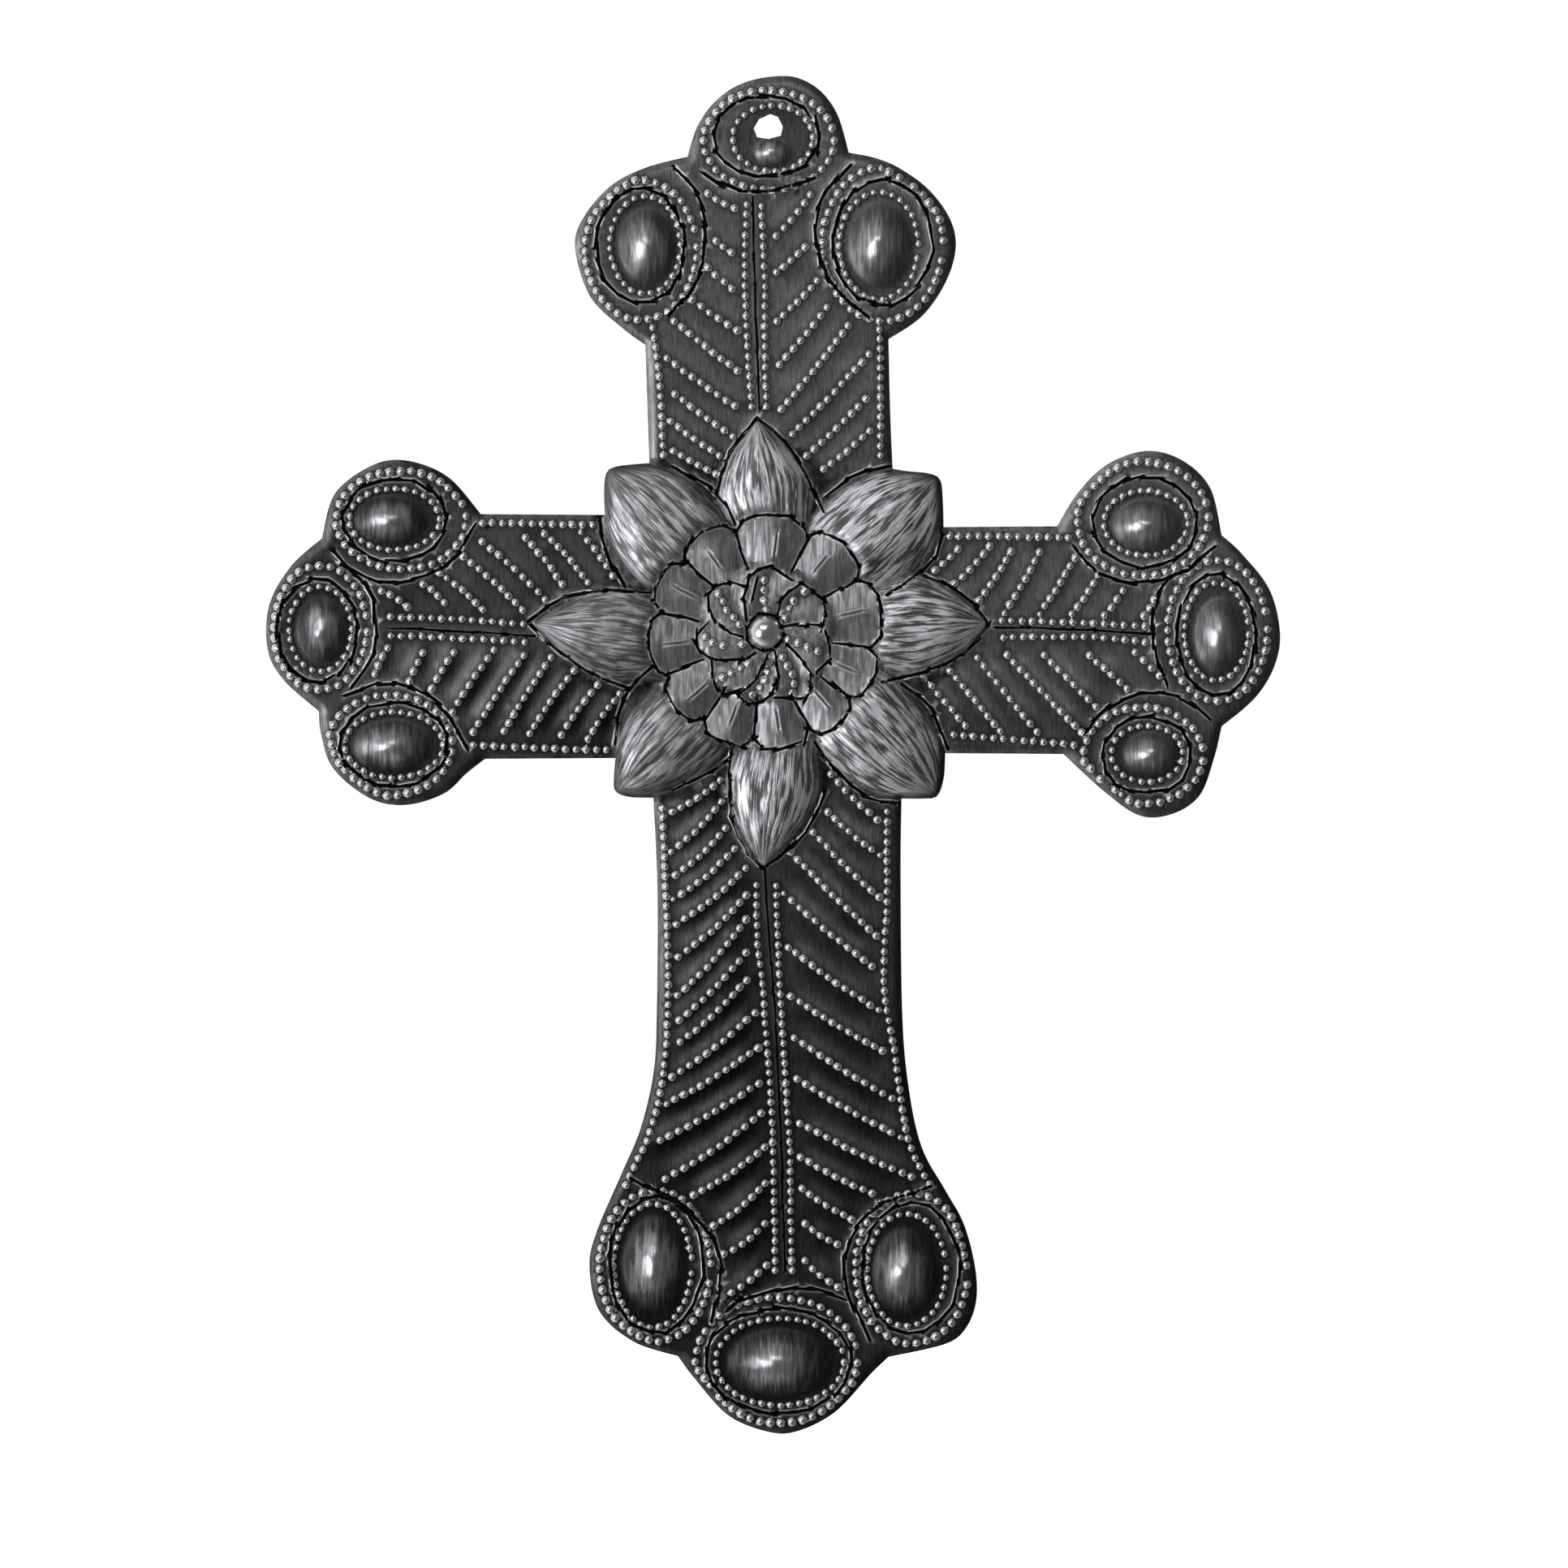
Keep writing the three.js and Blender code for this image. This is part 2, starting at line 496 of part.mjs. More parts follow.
function circled(a, b, c) {
  const [p, q, r] = [places[a], places[b], places[c]];
  const d = 2 * (p.x * (q.z - r.z) + q.x * (r.z - p.z) + r.x * (p.z - q.z));
  const [pp, qq, rr] = [p, q, r].map((s) => s.x * s.x + s.z * s.z);
  const x = (pp * (q.z - r.z) + qq * (r.z - p.z) + rr * (p.z - q.z)) / d;
  const z = (pp * (r.x - q.x) + qq * (p.x - r.x) + rr * (q.x - p.x)) / d;
  return { a, b, c, x, z, reach: (p.x - x) ** 2 + (p.z - z) ** 2 };
}

function addToNet(index) {
  const { x, z } = places[index];
  const kept = [];
  const rim = new Map();
  for (const t of net) {
    if ((t.x - x) ** 2 + (t.z - z) ** 2 >= t.reach) {
      kept.push(t);
      continue;
    }
    for (const [u, v] of [[t.a, t.b], [t.b, t.c], [t.c, t.a]])
      if (!rim.delete(v + "," + u)) rim.set(u + "," + v, [u, v]);
  }
  net = kept;
  for (const [u, v] of rim.values()) net.push(circled(u, v, index));
}

// A very small nudge keeps places from lying on one circle or one line.
places.forEach((p, i) => {
  p.x += 2e-4 * Math.sin(12.9 * i + 1);
  p.z += 2e-4 * Math.cos(78.2 * i + 2);
});
const count = places.length;
const AROUND = 5000; // half side of the triangle that holds every place at the start
places.push({ x: -AROUND, z: -AROUND }, { x: AROUND, z: -AROUND }, { x: 0, z: AROUND });
net.push(circled(count, count + 1, count + 2));
for (let i = 0; i < count; i++) addToNet(i);

// Where the net crosses the cut edge or the hole, the edge gets a place halfway.
function holdEdge(loop) {
  for (let pass = 0; pass < 8; pass++) {
    const edges = new Set(net.flatMap((t) => [[t.a, t.b], [t.b, t.c], [t.c, t.a]].map(String)));
    const longer = [];
    loop.forEach((a, i) => {
      const b = loop[(i + 1) % loop.length];
      longer.push(a);
      if (edges.has(a + "," + b) || edges.has(b + "," + a)) return;
      const [p, q] = [places[a], places[b]];
      places.push({ x: (p.x + q.x) / 2, z: (p.z + q.z) / 2, rise: (p.rise + q.rise) / 2 });
      addToNet(places.length - 1);
      longer.push(places.length - 1);
    });
    if (longer.length === loop.length) return loop;
    loop = longer;
  }
  return loop;
}

const edgeLoop = holdEdge(cutEdge.map((_, i) => i));
const holeLoop = holdEdge(HANGING_HOLE.map((_, i) => cutEdge.length + i));
const [edgePlaces, holePlaces] = [edgeLoop, holeLoop].map((loop) =>
  loop.map((i) => [places[i].x, places[i].z]),
);

// The triangles of the sheet itself, turned so that they face the front.
const sheet = net
  .filter(({ a, b, c }) => {
    if ([a, b, c].some((i) => i >= count && i < count + 3)) return false;
    const x = (places[a].x + places[b].x + places[c].x) / 3;
    const z = (places[a].z + places[b].z + places[c].z) / 3;
    return insideLoop(x, z, edgePlaces) && !insideLoop(x, z, holePlaces);
  })
  .map(({ a, b, c }) => {
    const [p, q, r] = [places[a], places[b], places[c]];
    return (q.x - p.x) * (r.z - p.z) > (r.x - p.x) * (q.z - p.z) ? [a, b, c] : [a, c, b];
  });

// The solid: the front, the back one thickness behind it, and the cut edges between them.
function hammeredSheet() {
  const far = places.length;
  const front = places.map((p) => [p.x, -SHEET_THICKNESS - (p.rise ?? 0), p.z]);
  const back = places.map((p) => [p.x, -(p.rise ?? 0), p.z]);
  const faces = [];
  const open = new Map();
  for (const [a, b, c] of sheet) {
    faces.push(a, b, c, far + a, far + c, far + b);
    for (const [u, v] of [[a, b], [b, c], [c, a]])
      if (!open.delete(v + "," + u)) open.set(u + "," + v, [u, v]);
  }
  for (const [u, v] of open.values()) faces.push(u, far + u, far + v, u, far + v, v);
  const geometry = new THREE.BufferGeometry();
  geometry.setAttribute(
    "position",
    new THREE.Float32BufferAttribute([...front, ...back].flat(), 3),
  );
  geometry.setIndex(faces);
  geometry.computeVertexNormals();
  return geometry;
}

const darkSteel = new THREE.MeshStandardMaterial({
  color: 0x3f4043,
  metalness: 0.9,
  roughness: 0.42,
  flatShading: true,
});

const cross = new THREE.Group();
const hammeredCross = new THREE.Mesh(hammeredSheet(), darkSteel);
hammeredCross.name = "hammered_sheet_cross";
cross.add(hammeredCross);

export default cross;
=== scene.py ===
import math
import random

import bpy
import numpy as np
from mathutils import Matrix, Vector, kdtree, noise
from mathutils.geometry import delaunay_2d_cdt


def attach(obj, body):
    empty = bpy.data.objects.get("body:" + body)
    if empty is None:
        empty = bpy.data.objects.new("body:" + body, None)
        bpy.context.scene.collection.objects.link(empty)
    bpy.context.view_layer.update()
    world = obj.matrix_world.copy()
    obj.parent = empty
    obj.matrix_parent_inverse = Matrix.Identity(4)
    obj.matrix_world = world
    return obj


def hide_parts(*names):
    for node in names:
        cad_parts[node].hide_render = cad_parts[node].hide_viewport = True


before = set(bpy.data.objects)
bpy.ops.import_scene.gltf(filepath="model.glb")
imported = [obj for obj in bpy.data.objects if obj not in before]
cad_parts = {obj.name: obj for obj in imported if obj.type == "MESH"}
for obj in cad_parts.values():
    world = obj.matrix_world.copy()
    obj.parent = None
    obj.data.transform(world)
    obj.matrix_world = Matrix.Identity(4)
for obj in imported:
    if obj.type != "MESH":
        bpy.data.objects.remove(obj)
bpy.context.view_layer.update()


# The sheet. One piece of thin steel, cut by hand to the outline of a cross with lobed ends, and
# bent back a little all round its edge. Sizes are millimetres, x to the right and z up from the
# middle of the hanging hole, and heights are towards the front, from the ground of the sheet.
MM = 0.001
SHEET_THICKNESS = 1.2
EDGE_TURN = 0.9
EDGE_BAND = 2.3
EDGE_ROUNDING = 1.4
CUT_STEP = 1.25
HOLE_STEP = 0.7
CLOSE_STEP = 0.3
CURVE_PARTS = 24

# Each stretch goes on from the last place of the stretch before it.
CUT_EDGE = {
    "top lobe": [
        (-17.4, 0.2), (-13.2, 6.2), (-7.4, 10.4), (-0.4, 12.4), (6.8, 12.4), (12.8, 9.2),
        (17.2, 3.2), (20, -6.2),
    ],
    "upper right lobe": [
        (26.8, -7.6), (32.8, -10.2), (39.8, -15.4), (45, -22.6), (46.4, -29.8), (43.8, -38.4),
        (38, -46.6), (29.8, -52.2),
    ],
    "upper arm, right side": [(30.2, -69.4), (30.8, -84.2)],
    "north-east petal": [(34.4, -84.8), (40, -85.4), (42.6, -87), (43.2, -91.8), (43.4, -98.6)],
    "right arm, top": [(71.4, -98.4)],
    "right upper lobe": [
        (76.8, -89.8), (84, -83), (93.6, -79.8), (102.4, -82.2), (109.2, -89), (112, -100.6),
    ],
    "right middle lobe": [
        (117, -105.2), (123.8, -114), (126.4, -124.6), (125, -133), (120.2, -140.8),
        (112, -147.8),
    ],
    "right lower lobe": [
        (110.2, -155.4), (106.6, -164.8), (99.8, -169.4), (91.8, -169.8), (83, -163.8),
        (73, -154.6),
    ],
    "right arm, bottom": [(43.8, -154.4)],
    "south-east petal": [(43.4, -160.8), (41.8, -165), (38.8, -165.6), (33, -165.6)],
    "lower arm, right side": [
        (32.8, -184.4), (33.2, -218.6), (34.8, -237), (38, -251.6), (43.8, -262.2),
        (48.4, -270.6), (51.2, -281.4), (51.4, -289.8), (48.8, -296.4), (43.8, -300.2),
        (29.8, -303.4),
    ],
    "bottom lobe": [
        (25.6, -307.4), (16.6, -317), (7, -321.8), (-0.2, -321.8), (-9.8, -317.8),
        (-18, -308.8), (-22.2, -303.2),
    ],
    "lower arm, left side": [
        (-33.2, -299.6), (-41.6, -292), (-44, -281), (-42.2, -272.4), (-36.2, -258.4),
        (-31.4, -247), (-28.2, -233.2), (-27.4, -218.6), (-27.2, -189), (-28.2, -165.4),
    ],
    "south-west petal": [(-34.2, -165.2), (-37.6, -163.8), (-38, -160.8), (-37.6, -155.6)],
    "left arm, bottom": [(-69.8, -155.8)],
    "left lower lobe": [
        (-74.4, -159.4), (-80, -164.4), (-89.6, -167.2), (-98.4, -165.4), (-107.2, -158.2),
        (-110.2, -149.8), (-110.8, -144),
    ],
    "left middle lobe": [
        (-119.4, -136.4), (-123.4, -128.8), (-123, -117.8), (-117.6, -108.2), (-110, -101.4),
    ],
    "left upper lobe": [
        (-107.6, -91.8), (-103, -86.6), (-95, -82.4), (-87, -82.6), (-78.4, -86.6),
        (-70.8, -95.4),
    ],
    "left arm, top": [(-40.2, -95.6)],
    "north-west petal": [(-40.4, -89.8), (-39.8, -85.2), (-37.2, -83.6), (-29.2, -82.8)],
    "upper arm, left side": [(-30.2, -53.6)],
    "upper left lobe": [
        (-36.2, -49.2), (-44, -41.4), (-47.6, -29), (-44.8, -21.2), (-38.2, -14), (-29.8, -9.8),
        (-19.8, -7.2),
    ],
}

HANGING_HOLE = [
    (-3.5, -0.3), (-2.6, -2.5), (0.2, -2.9), (3.2, -2.1), (3.7, 0.2), (2.5, 2.6), (0.6, 3.3),
    (-2.1, 2.1), (-3.5, -0.3),
]


def smooth_line(places, step):
    """Evenly spaced points, about a step apart, on the smooth curve through some places."""
    knots = np.array([places[0], *places, places[-1]], float)
    share = np.linspace(0, 1, CURVE_PARTS, endpoint=False)[:, None]
    runs = []
    for before, start, end, after in zip(knots, knots[1:], knots[2:], knots[3:]):
        leave, arrive = (end - before) / 2, (after - start) / 2
        runs.append(
            (2 * start - 2 * end + leave + arrive) * share**3
            + (3 * end - 3 * start - 2 * leave - arrive) * share**2
            + leave * share
            + start
        )
    curve = np.vstack([*runs, knots[-1]])
    reach = np.r_[0, np.cumsum(np.hypot(*np.diff(curve, axis=0).T))]
    count = max(1, round(reach[-1] / step))
    at = np.linspace(0, reach[-1], count + 1)
    return np.stack([np.interp(at, reach, curve[:, k]) for k in (0, 1)], 1)


def nearest(places):
    """A finder of the closest of some places."""
    tree = kdtree.KDTree(len(places))
    for i, (x, z) in enumerate(places):
        tree.insert((x, z, 0), i)
    tree.balance()
    return tree


stretches = list(CUT_EDGE.values())
stretches = [[before[-1], *run] for before, run in zip(stretches[-1:] + stretches, stretches)]
cut_edge = np.vstack([smooth_line(run, CUT_STEP)[:-1] for run in stretches])
hole_edge = np.vstack(
    [smooth_line(side, HOLE_STEP)[:-1] for side in zip(HANGING_HOLE, HANGING_HOLE[1:])]
)
edge_finder = nearest(np.vstack([smooth_line(run, CLOSE_STEP) for run in stretches]))


# The marks. Rows of small round pearls are punched up from behind, and lines are cut from the
# front with a straight chisel, one short stroke after another, so they turn in small corners.
PEARL_RADIUS = 1.15
PEARL_RISE = 0.85
PEARL_PITCH = 2.5
PEARL_SIZES = (0.92, 1.06)
PEARL_SHIFT = 0.1
PEARL_CLEARANCE = 1.02
SMALLEST_PEARL = 0.75
EDGE_MARGIN = 2.1
STROKE_LENGTH = 4.3
STROKE_WIDTHS = (0.85, 1.1)
STROKE_TAPERS = (0.4, 0.95)
STROKES_WIDE_FIRST = 0.6
STROKE_SHIFT = 0.2
STROKE_TILT = 0.25
STROKE_OVERLAP = (0.2, 0.6)
GROOVE_HALF_WIDTH = 0.57
GROOVE_DEPTH = 0.5
BURR_RISE = 0.12

hand = random.Random(31)
pearls = []
strokes = []


def punch(x, z, radius=PEARL_RADIUS):
    """One pearl, struck a little unevenly, kept off the edge, and smaller or left out beside
    another pearl."""
    size = radius * hand.uniform(*PEARL_SIZES)
    x += hand.uniform(-PEARL_SHIFT, PEARL_SHIFT)
    z += hand.uniform(-PEARL_SHIFT, PEARL_SHIFT)
    rim, _, gap = edge_finder.find((x, z, 0))
    if gap < EDGE_MARGIN:
        x += (x - rim.x) * (EDGE_MARGIN / gap - 1)
        z += (z - rim.y) * (EDGE_MARGIN / gap - 1)
    room = [math.hypot(x - a, z - b) / PEARL_CLEARANCE - r for a, b, r in pearls]
    size = min([size, *room])
    if size > SMALLEST_PEARL:
        pearls.append((x, z, size))


def punch_row(places, pitch=PEARL_PITCH, radius=PEARL_RADIUS):
    """A row of pearls along a smooth line, from its first place to its last."""
    for x, z in smooth_line(places, pitch):
        punch(x, z, radius)


def chisel_line(places, stroke=STROKE_LENGTH, half_width=GROOVE_HALF_WIDTH, loose=1.4, burr=1.0):
    """A line of straight strokes that overlap a little and miss each other's ends. Each is a
    wedge, wider where the chisel went in deeper, with some burr along its sides."""
    corners = smooth_line(places, stroke)
    for start, end in zip(corners, corners[1:]):
        along = (end - start) / np.hypot(*(end - start))
        across = np.array([-along[1], along[0]]) * loose
        shift = across * hand.uniform(-STROKE_SHIFT, STROKE_SHIFT)
        tilt = across * hand.uniform(-STROKE_TILT, STROKE_TILT)
        start = start - along * hand.uniform(*STROKE_OVERLAP) + shift + tilt
        end = end + along * hand.uniform(*STROKE_OVERLAP) + shift - tilt
        width = half_width * hand.uniform(*STROKE_WIDTHS)
        taper = hand.uniform(*STROKE_TAPERS)
        wide, thin = (1, taper) if hand.random() < STROKES_WIDE_FIRST else (taper, 1)
        strokes.append((*start, *end, width * wide, width * thin, burr))


# The bosses. Each is a bell-shaped dome raised with a round-faced hammer in the middle of a
# shallow dish, inside an oval of pearls, a chiselled oval, and a wider oval of pearls. A chisel
# arc closes it off from the arm. The top one is small, because the hanging hole takes its place.
BOSS_RISE = 0.4
DOME_BELL = 2.2
DOME_SPREAD = 0.92
DENT_DEPTH = 0.22
DENT_SCALE = 0.3
DISH_DEPTH = 0.12
DISH_RIM = 1.5
RING_RIDGE = 0.06
RING_RIDGE_WIDTH = 1.3
INNER_PITCH = 2.35
INNER_PEARL = 0.98
OUTER_PITCH = 2.6
OVAL_TURN = 352
OVAL_PLACES = 25
BOSSES = {
    "upper left": {
        "inner": (-30.2, -29, 8.6, 12), "oval": (-31.3, -29.2, 10.9, 14.2),
        "outer": (-31.2, -30.2, 13.7, 17.2), "dome": (-29.8, -29.2),
        "arc": [(-23.2, -10.2), (-17.4, -16.4), (-15.2, -27), (-17.6, -38), (-23.8, -46.2)],
    },
    "upper right": {
        "inner": (27.5, -29.2, 9.7, 13.2), "oval": (28.4, -28.5, 12.2, 15.5),
        "outer": (28.4, -28.8, 14.8, 19), "dome": (27.6, -29),
        "arc": [(20.4, -9.8), (13.8, -16.4), (11.8, -26.4), (15.6, -38.6), (24.6, -47)],
    },
    "left upper": {
        "inner": (-92.1, -96.7, 11.1, 7.5), "oval": (-91.9, -96.9, 12.9, 10.3),
        "outer": (-90.4, -96.9, 16, 12.1), "dome": (-93, -96.8),
        "arc": [(-106.8, -105.4), (-101, -110), (-93, -112.4), (-80, -108.6), (-71.8, -98)],
    },
    "left middle": {
        "inner": (-110.3, -123.8, 7.7, 10.4), "oval": (-111.1, -124.2, 9.9, 12.8),
        "outer": (-110.4, -123.5, 11.6, 15.3), "dome": (-110, -123.8),
        "arc": [(-106, -107.2), (-98.4, -113.6), (-96.6, -124), (-98, -131.4), (-102.2, -137.8)],
    },
    "left lower": {
        "inner": (-92.2, -152.3, 12, 8.1), "oval": (-92.2, -152.3, 13.4, 10.3),
        "outer": (-93.1, -152.4, 15.3, 12.4), "dome": (-92.6, -152.6),
        "arc": [(-103.8, -140.2), (-93.4, -137), (-81.6, -141.6), (-74.2, -152.8)],
    },
    "right upper": {
        "inner": (93.3, -97.6, 10.3, 8), "oval": (93.1, -97.3, 12.9, 11.3),
        "outer": (92.5, -96.6, 16.1, 14), "dome": (93.2, -98.2),
        "arc": [(76.2, -104), (81.4, -109.8), (90.2, -112.4), (101, -110.6), (110.2, -103.6)],
    },
    "right middle": {
        "inner": (110.7, -124.4, 7.9, 12), "oval": (110.7, -125.3, 9.7, 15.1),
        "outer": (110.9, -124.2, 12.3, 17.4), "dome": (111.4, -125.4),
        "arc": [(99, -110.8), (96, -116.4), (95, -122.8), (95.8, -130.6), (98.6, -137)],
    },
    "right lower": {
        "inner": (93.6, -154.5, 8.8, 6.9), "oval": (93.6, -155, 11.2, 9.4),
        "outer": (92.7, -154.9, 14.7, 11.9), "dome": (94.6, -154.6),
        "arc": [(78, -149.2), (85, -142.4), (94.8, -139.6), (102.6, -141), (108.6, -145.4)],
    },
    "lower left": {
        "inner": (-28.3, -280.8, 9.5, 15.2), "oval": (-27.5, -280.6, 11.7, 16.8),
        "outer": (-27.7, -280.9, 13.7, 18.7), "dome": (-28, -280.4),
        "arc": [(-33.6, -260), (-21.2, -265.8), (-12.8, -275.4), (-11.8, -286), (-14, -294.2)],
    },
    "lower right": {
        "inner": (34.3, -281.8, 9.7, 13.8), "oval": (35.3, -281.4, 12.1, 16.2),
        "outer": (35.6, -281.5, 14, 18.5), "dome": (33.6, -282.4),
        "arc": [(40, -261.8), (27, -266.4), (19.6, -275.6), (20, -288), (25.6, -298.6)],
    },
    "bottom": {
        "inner": (3, -304.5, 15.8, 10.7), "oval": (2.7, -304.3, 18.1, 12.9),
        "outer": (2.2, -304.1, 20, 15.5), "dome": (2.6, -304.8),
        "arc": [(-10, -291.6), (-5.2, -288.6), (6.4, -286.4), (13, -287), (19, -289.6)],
    },
    "top": {
        "inner": (1.3, -2.7, 9.9, 8.1), "oval": (-0.3, -2.3, 13.1, 10.1),
        "outer": (0.3, -3.2, 16.1, 12.2), "dome": (1.1, -6.2), "radii": (5.6, 3.8), "rise": 1.7,
        "arc": [(-15.2, -11.8), (-8, -15.4), (0.2, -16), (11.2, -12.8)],
    },
}


def oval(shape, start=0.0, turn=360.0):
    """Places round an oval given as its middle and its two half widths."""
    x, z, wide, high = shape
    angles = np.radians(np.linspace(start, start + turn, OVAL_PLACES))
    return np.stack([x + wide * np.cos(angles), z + high * np.sin(angles)], 1)


for boss in BOSSES.values():
    punch_row(oval(boss["inner"], hand.uniform(0, 20))[:-1], INNER_PITCH, INNER_PEARL)
    punch_row(oval(boss["outer"], hand.uniform(0, 20))[:-1], OUTER_PITCH)
    chisel_line(oval(boss["oval"], hand.uniform(0, 360), OVAL_TURN))
    chisel_line(boss["arc"])


def bell(distance, width):
    """1 at no distance, and next to nothing at twice the width."""
    return np.exp(-((distance / width) ** 2))


def uneven(x, z, scale, layer):
    """Smooth noise over the sheet, both sides of 0."""
    return np.array([noise.noise(Vector((a * scale, b * scale, layer))) for a, b in zip(x, z)])


def ring_distance(shape, x, z):
    """Distance from an oval, negative inside it."""
    cx, cz, wide, high = shape
    share = np.hypot((x - cx) / wide, (z - cz) / high)
    return np.hypot(x - cx, z - cz) * (1 - 1 / np.maximum(share, 0.05))


def dome_share(boss, x, z):
    """0 on top of a boss's dome and 1 at its foot."""
    radii = boss.get("radii") or [r * DOME_SPREAD for r in boss["inner"][2:]]
    return np.hypot((x - boss["dome"][0]) / radii[0], (z - boss["dome"][1]) / radii[1])


def boss_relief(x, z):
    """Height of the domes, their dishes, and the ridges under the ovals of pearls."""
    height = np.zeros(len(x))
    for boss in BOSSES.values():
        rise = boss.get("rise") or min(boss["inner"][2:]) * BOSS_RISE
        share = np.minimum(dome_share(boss, x, z), 1)
        height += rise * (1 - share**2) ** DOME_BELL
        on = share < 1
        height[on] += DENT_DEPTH * uneven(x[on], z[on], DENT_SCALE, 5) * (1 - share[on] ** 2)
        dish = np.clip(-ring_distance(boss["inner"], x, z) / DISH_RIM, 0, 1)
        height -= DISH_DEPTH * dish
        for ring in ("inner", "outer"):
            height += RING_RIDGE * bell(ring_distance(boss[ring], x, z), RING_RIDGE_WIDTH)
    return height


# The flower. Eight long petals are raised high from behind and brushed bright, four of them
# blunt and reaching past the arms. On them lies a ring of eleven small petals, each pinched to a
# crease along its middle, then a swirl of eight leaning petals with pearls, and a round knob.
FLOWER_MIDDLE = (-0.6, -124.6)
PETAL_RISE = 3.8
PETAL_EDGE = 0.4
PETAL_DENTS = 0.3
DENTS_ACROSS = 0.32
DENTS_ALONG = 0.1
PETAL_STROKES = (4.8, GROOVE_HALF_WIDTH, 1.0)
LONG_PETALS = {
    "north": ((0.4, -97), (-2.6, -72.2), 12.6, 1.7),
    "north-east": ((13, -112.6), (42.2, -86.4), 14.4, 3.2),
    "east": ((27, -123.6), (54.6, -122.4), 13.4, 1.7),
    "south-east": ((14.5, -137), (42, -164.6), 13.4, 3.2),
    "south": ((2.4, -152.4), (-1.2, -182.8), 12, 1.7),
    "south-west": ((-12.5, -139.5), (-37.4, -164.4), 12.4, 3.2),
    "west": ((-27, -126.4), (-58.2, -122.2), 12.4, 1.7),
    "north-west": ((-14, -111), (-39.6, -84.4), 14.2, 3.2),
}
PETAL_LINES = [
    [(-2.6, -72.2), (-3.6, -73), (-9.6, -81.2), (-12.2, -89.8)],
    [(-2.6, -72.2), (1, -74.6), (4.8, -78.4), (9.4, -85.2), (12.4, -92.6), (13.6, -94.8)],
    [(15.2, -90.2), (21.6, -85.6), (29.8, -83.6)],
    [(43, -101.4), (40.8, -107), (36.6, -110.2), (29.8, -115.4)],
    [(38.8, -110.6), (46.6, -114.4), (51.2, -118.2), (54.6, -122.4)],
    [(54.6, -122.4), (49.2, -129), (41.4, -133.2), (34.2, -135.8), (29, -136.6)],
    [(33.6, -137.6), (38.6, -141.2), (41.8, -145.8), (43.2, -151.8), (44.4, -153)],
    [(32.6, -166.8), (26, -166), (20.6, -162.2), (15, -156.6), (11.8, -151.8)],
    [(-9, -154.6), (-9.4, -164.2), (-8.4, -171.4), (-4.8, -179.2), (-1.2, -182.8)],
    [(14, -165), (10, -172.8), (5, -178.4), (-1.2, -182.8)],
    [(-28.4, -133.4), (-34, -138.4), (-36.6, -144.8), (-37.6, -151.6)],
    [(-22.6, -163), (-16.2, -160.2), (-9.8, -156.2)],
    [(-58.2, -121.6), (-51.2, -116.4), (-44, -114.4), (-36.4, -114.4), (-29.8, -115)],
    [(-57.8, -123), (-52.2, -128.6), (-45.6, -133.6), (-39.6, -136.6), (-34.6, -138.2)],
    [(-23.2, -83.8), (-16, -87.8), (-11.8, -91), (-8.2, -97.4)],
    [(-41.6, -96), (-40.6, -102), (-37.8, -109.2), (-35.4, -112.8)],
]
RING_CUTS = [106, 66, 30, -8, -38, -66, -96, -125, -156, -191, -221, -254]
RING_RADIUS = 29
RING_CUT_RADIUS = 26
RING_INNER_RADIUS = 16.4
RING_RISE = 3.4
RING_ROOF = 1.6
RING_CUT_STROKES = (5, 0.5)
RING_RIM_STROKES = (3.2, 0.52, 1.3)
CREASE_OUTER = (24.8, 26.8)
CREASE_INNER = (17.6, 18.6)
CREASE_LIPS = 0.28
CREASE_CORE = 0.12
SWIRL_PETALS = 8
SWIRL_START = 15
SWIRL_LEAN = -26
SWIRL_RADIUS = 15.6
SWIRL_RISE = 3.9
SWIRL_SWELL = 0.8
SWIRL_STROKES = (3.2, 0.46)
KNOB_RADIUS = 4.0
KNOB_RISE = 5.6
KNOB_DOME = 2.6
MOAT_RADIUS = 4.6
MOAT_DEPTH = 0.9
MOAT_STROKES = (2.4, 0.42)
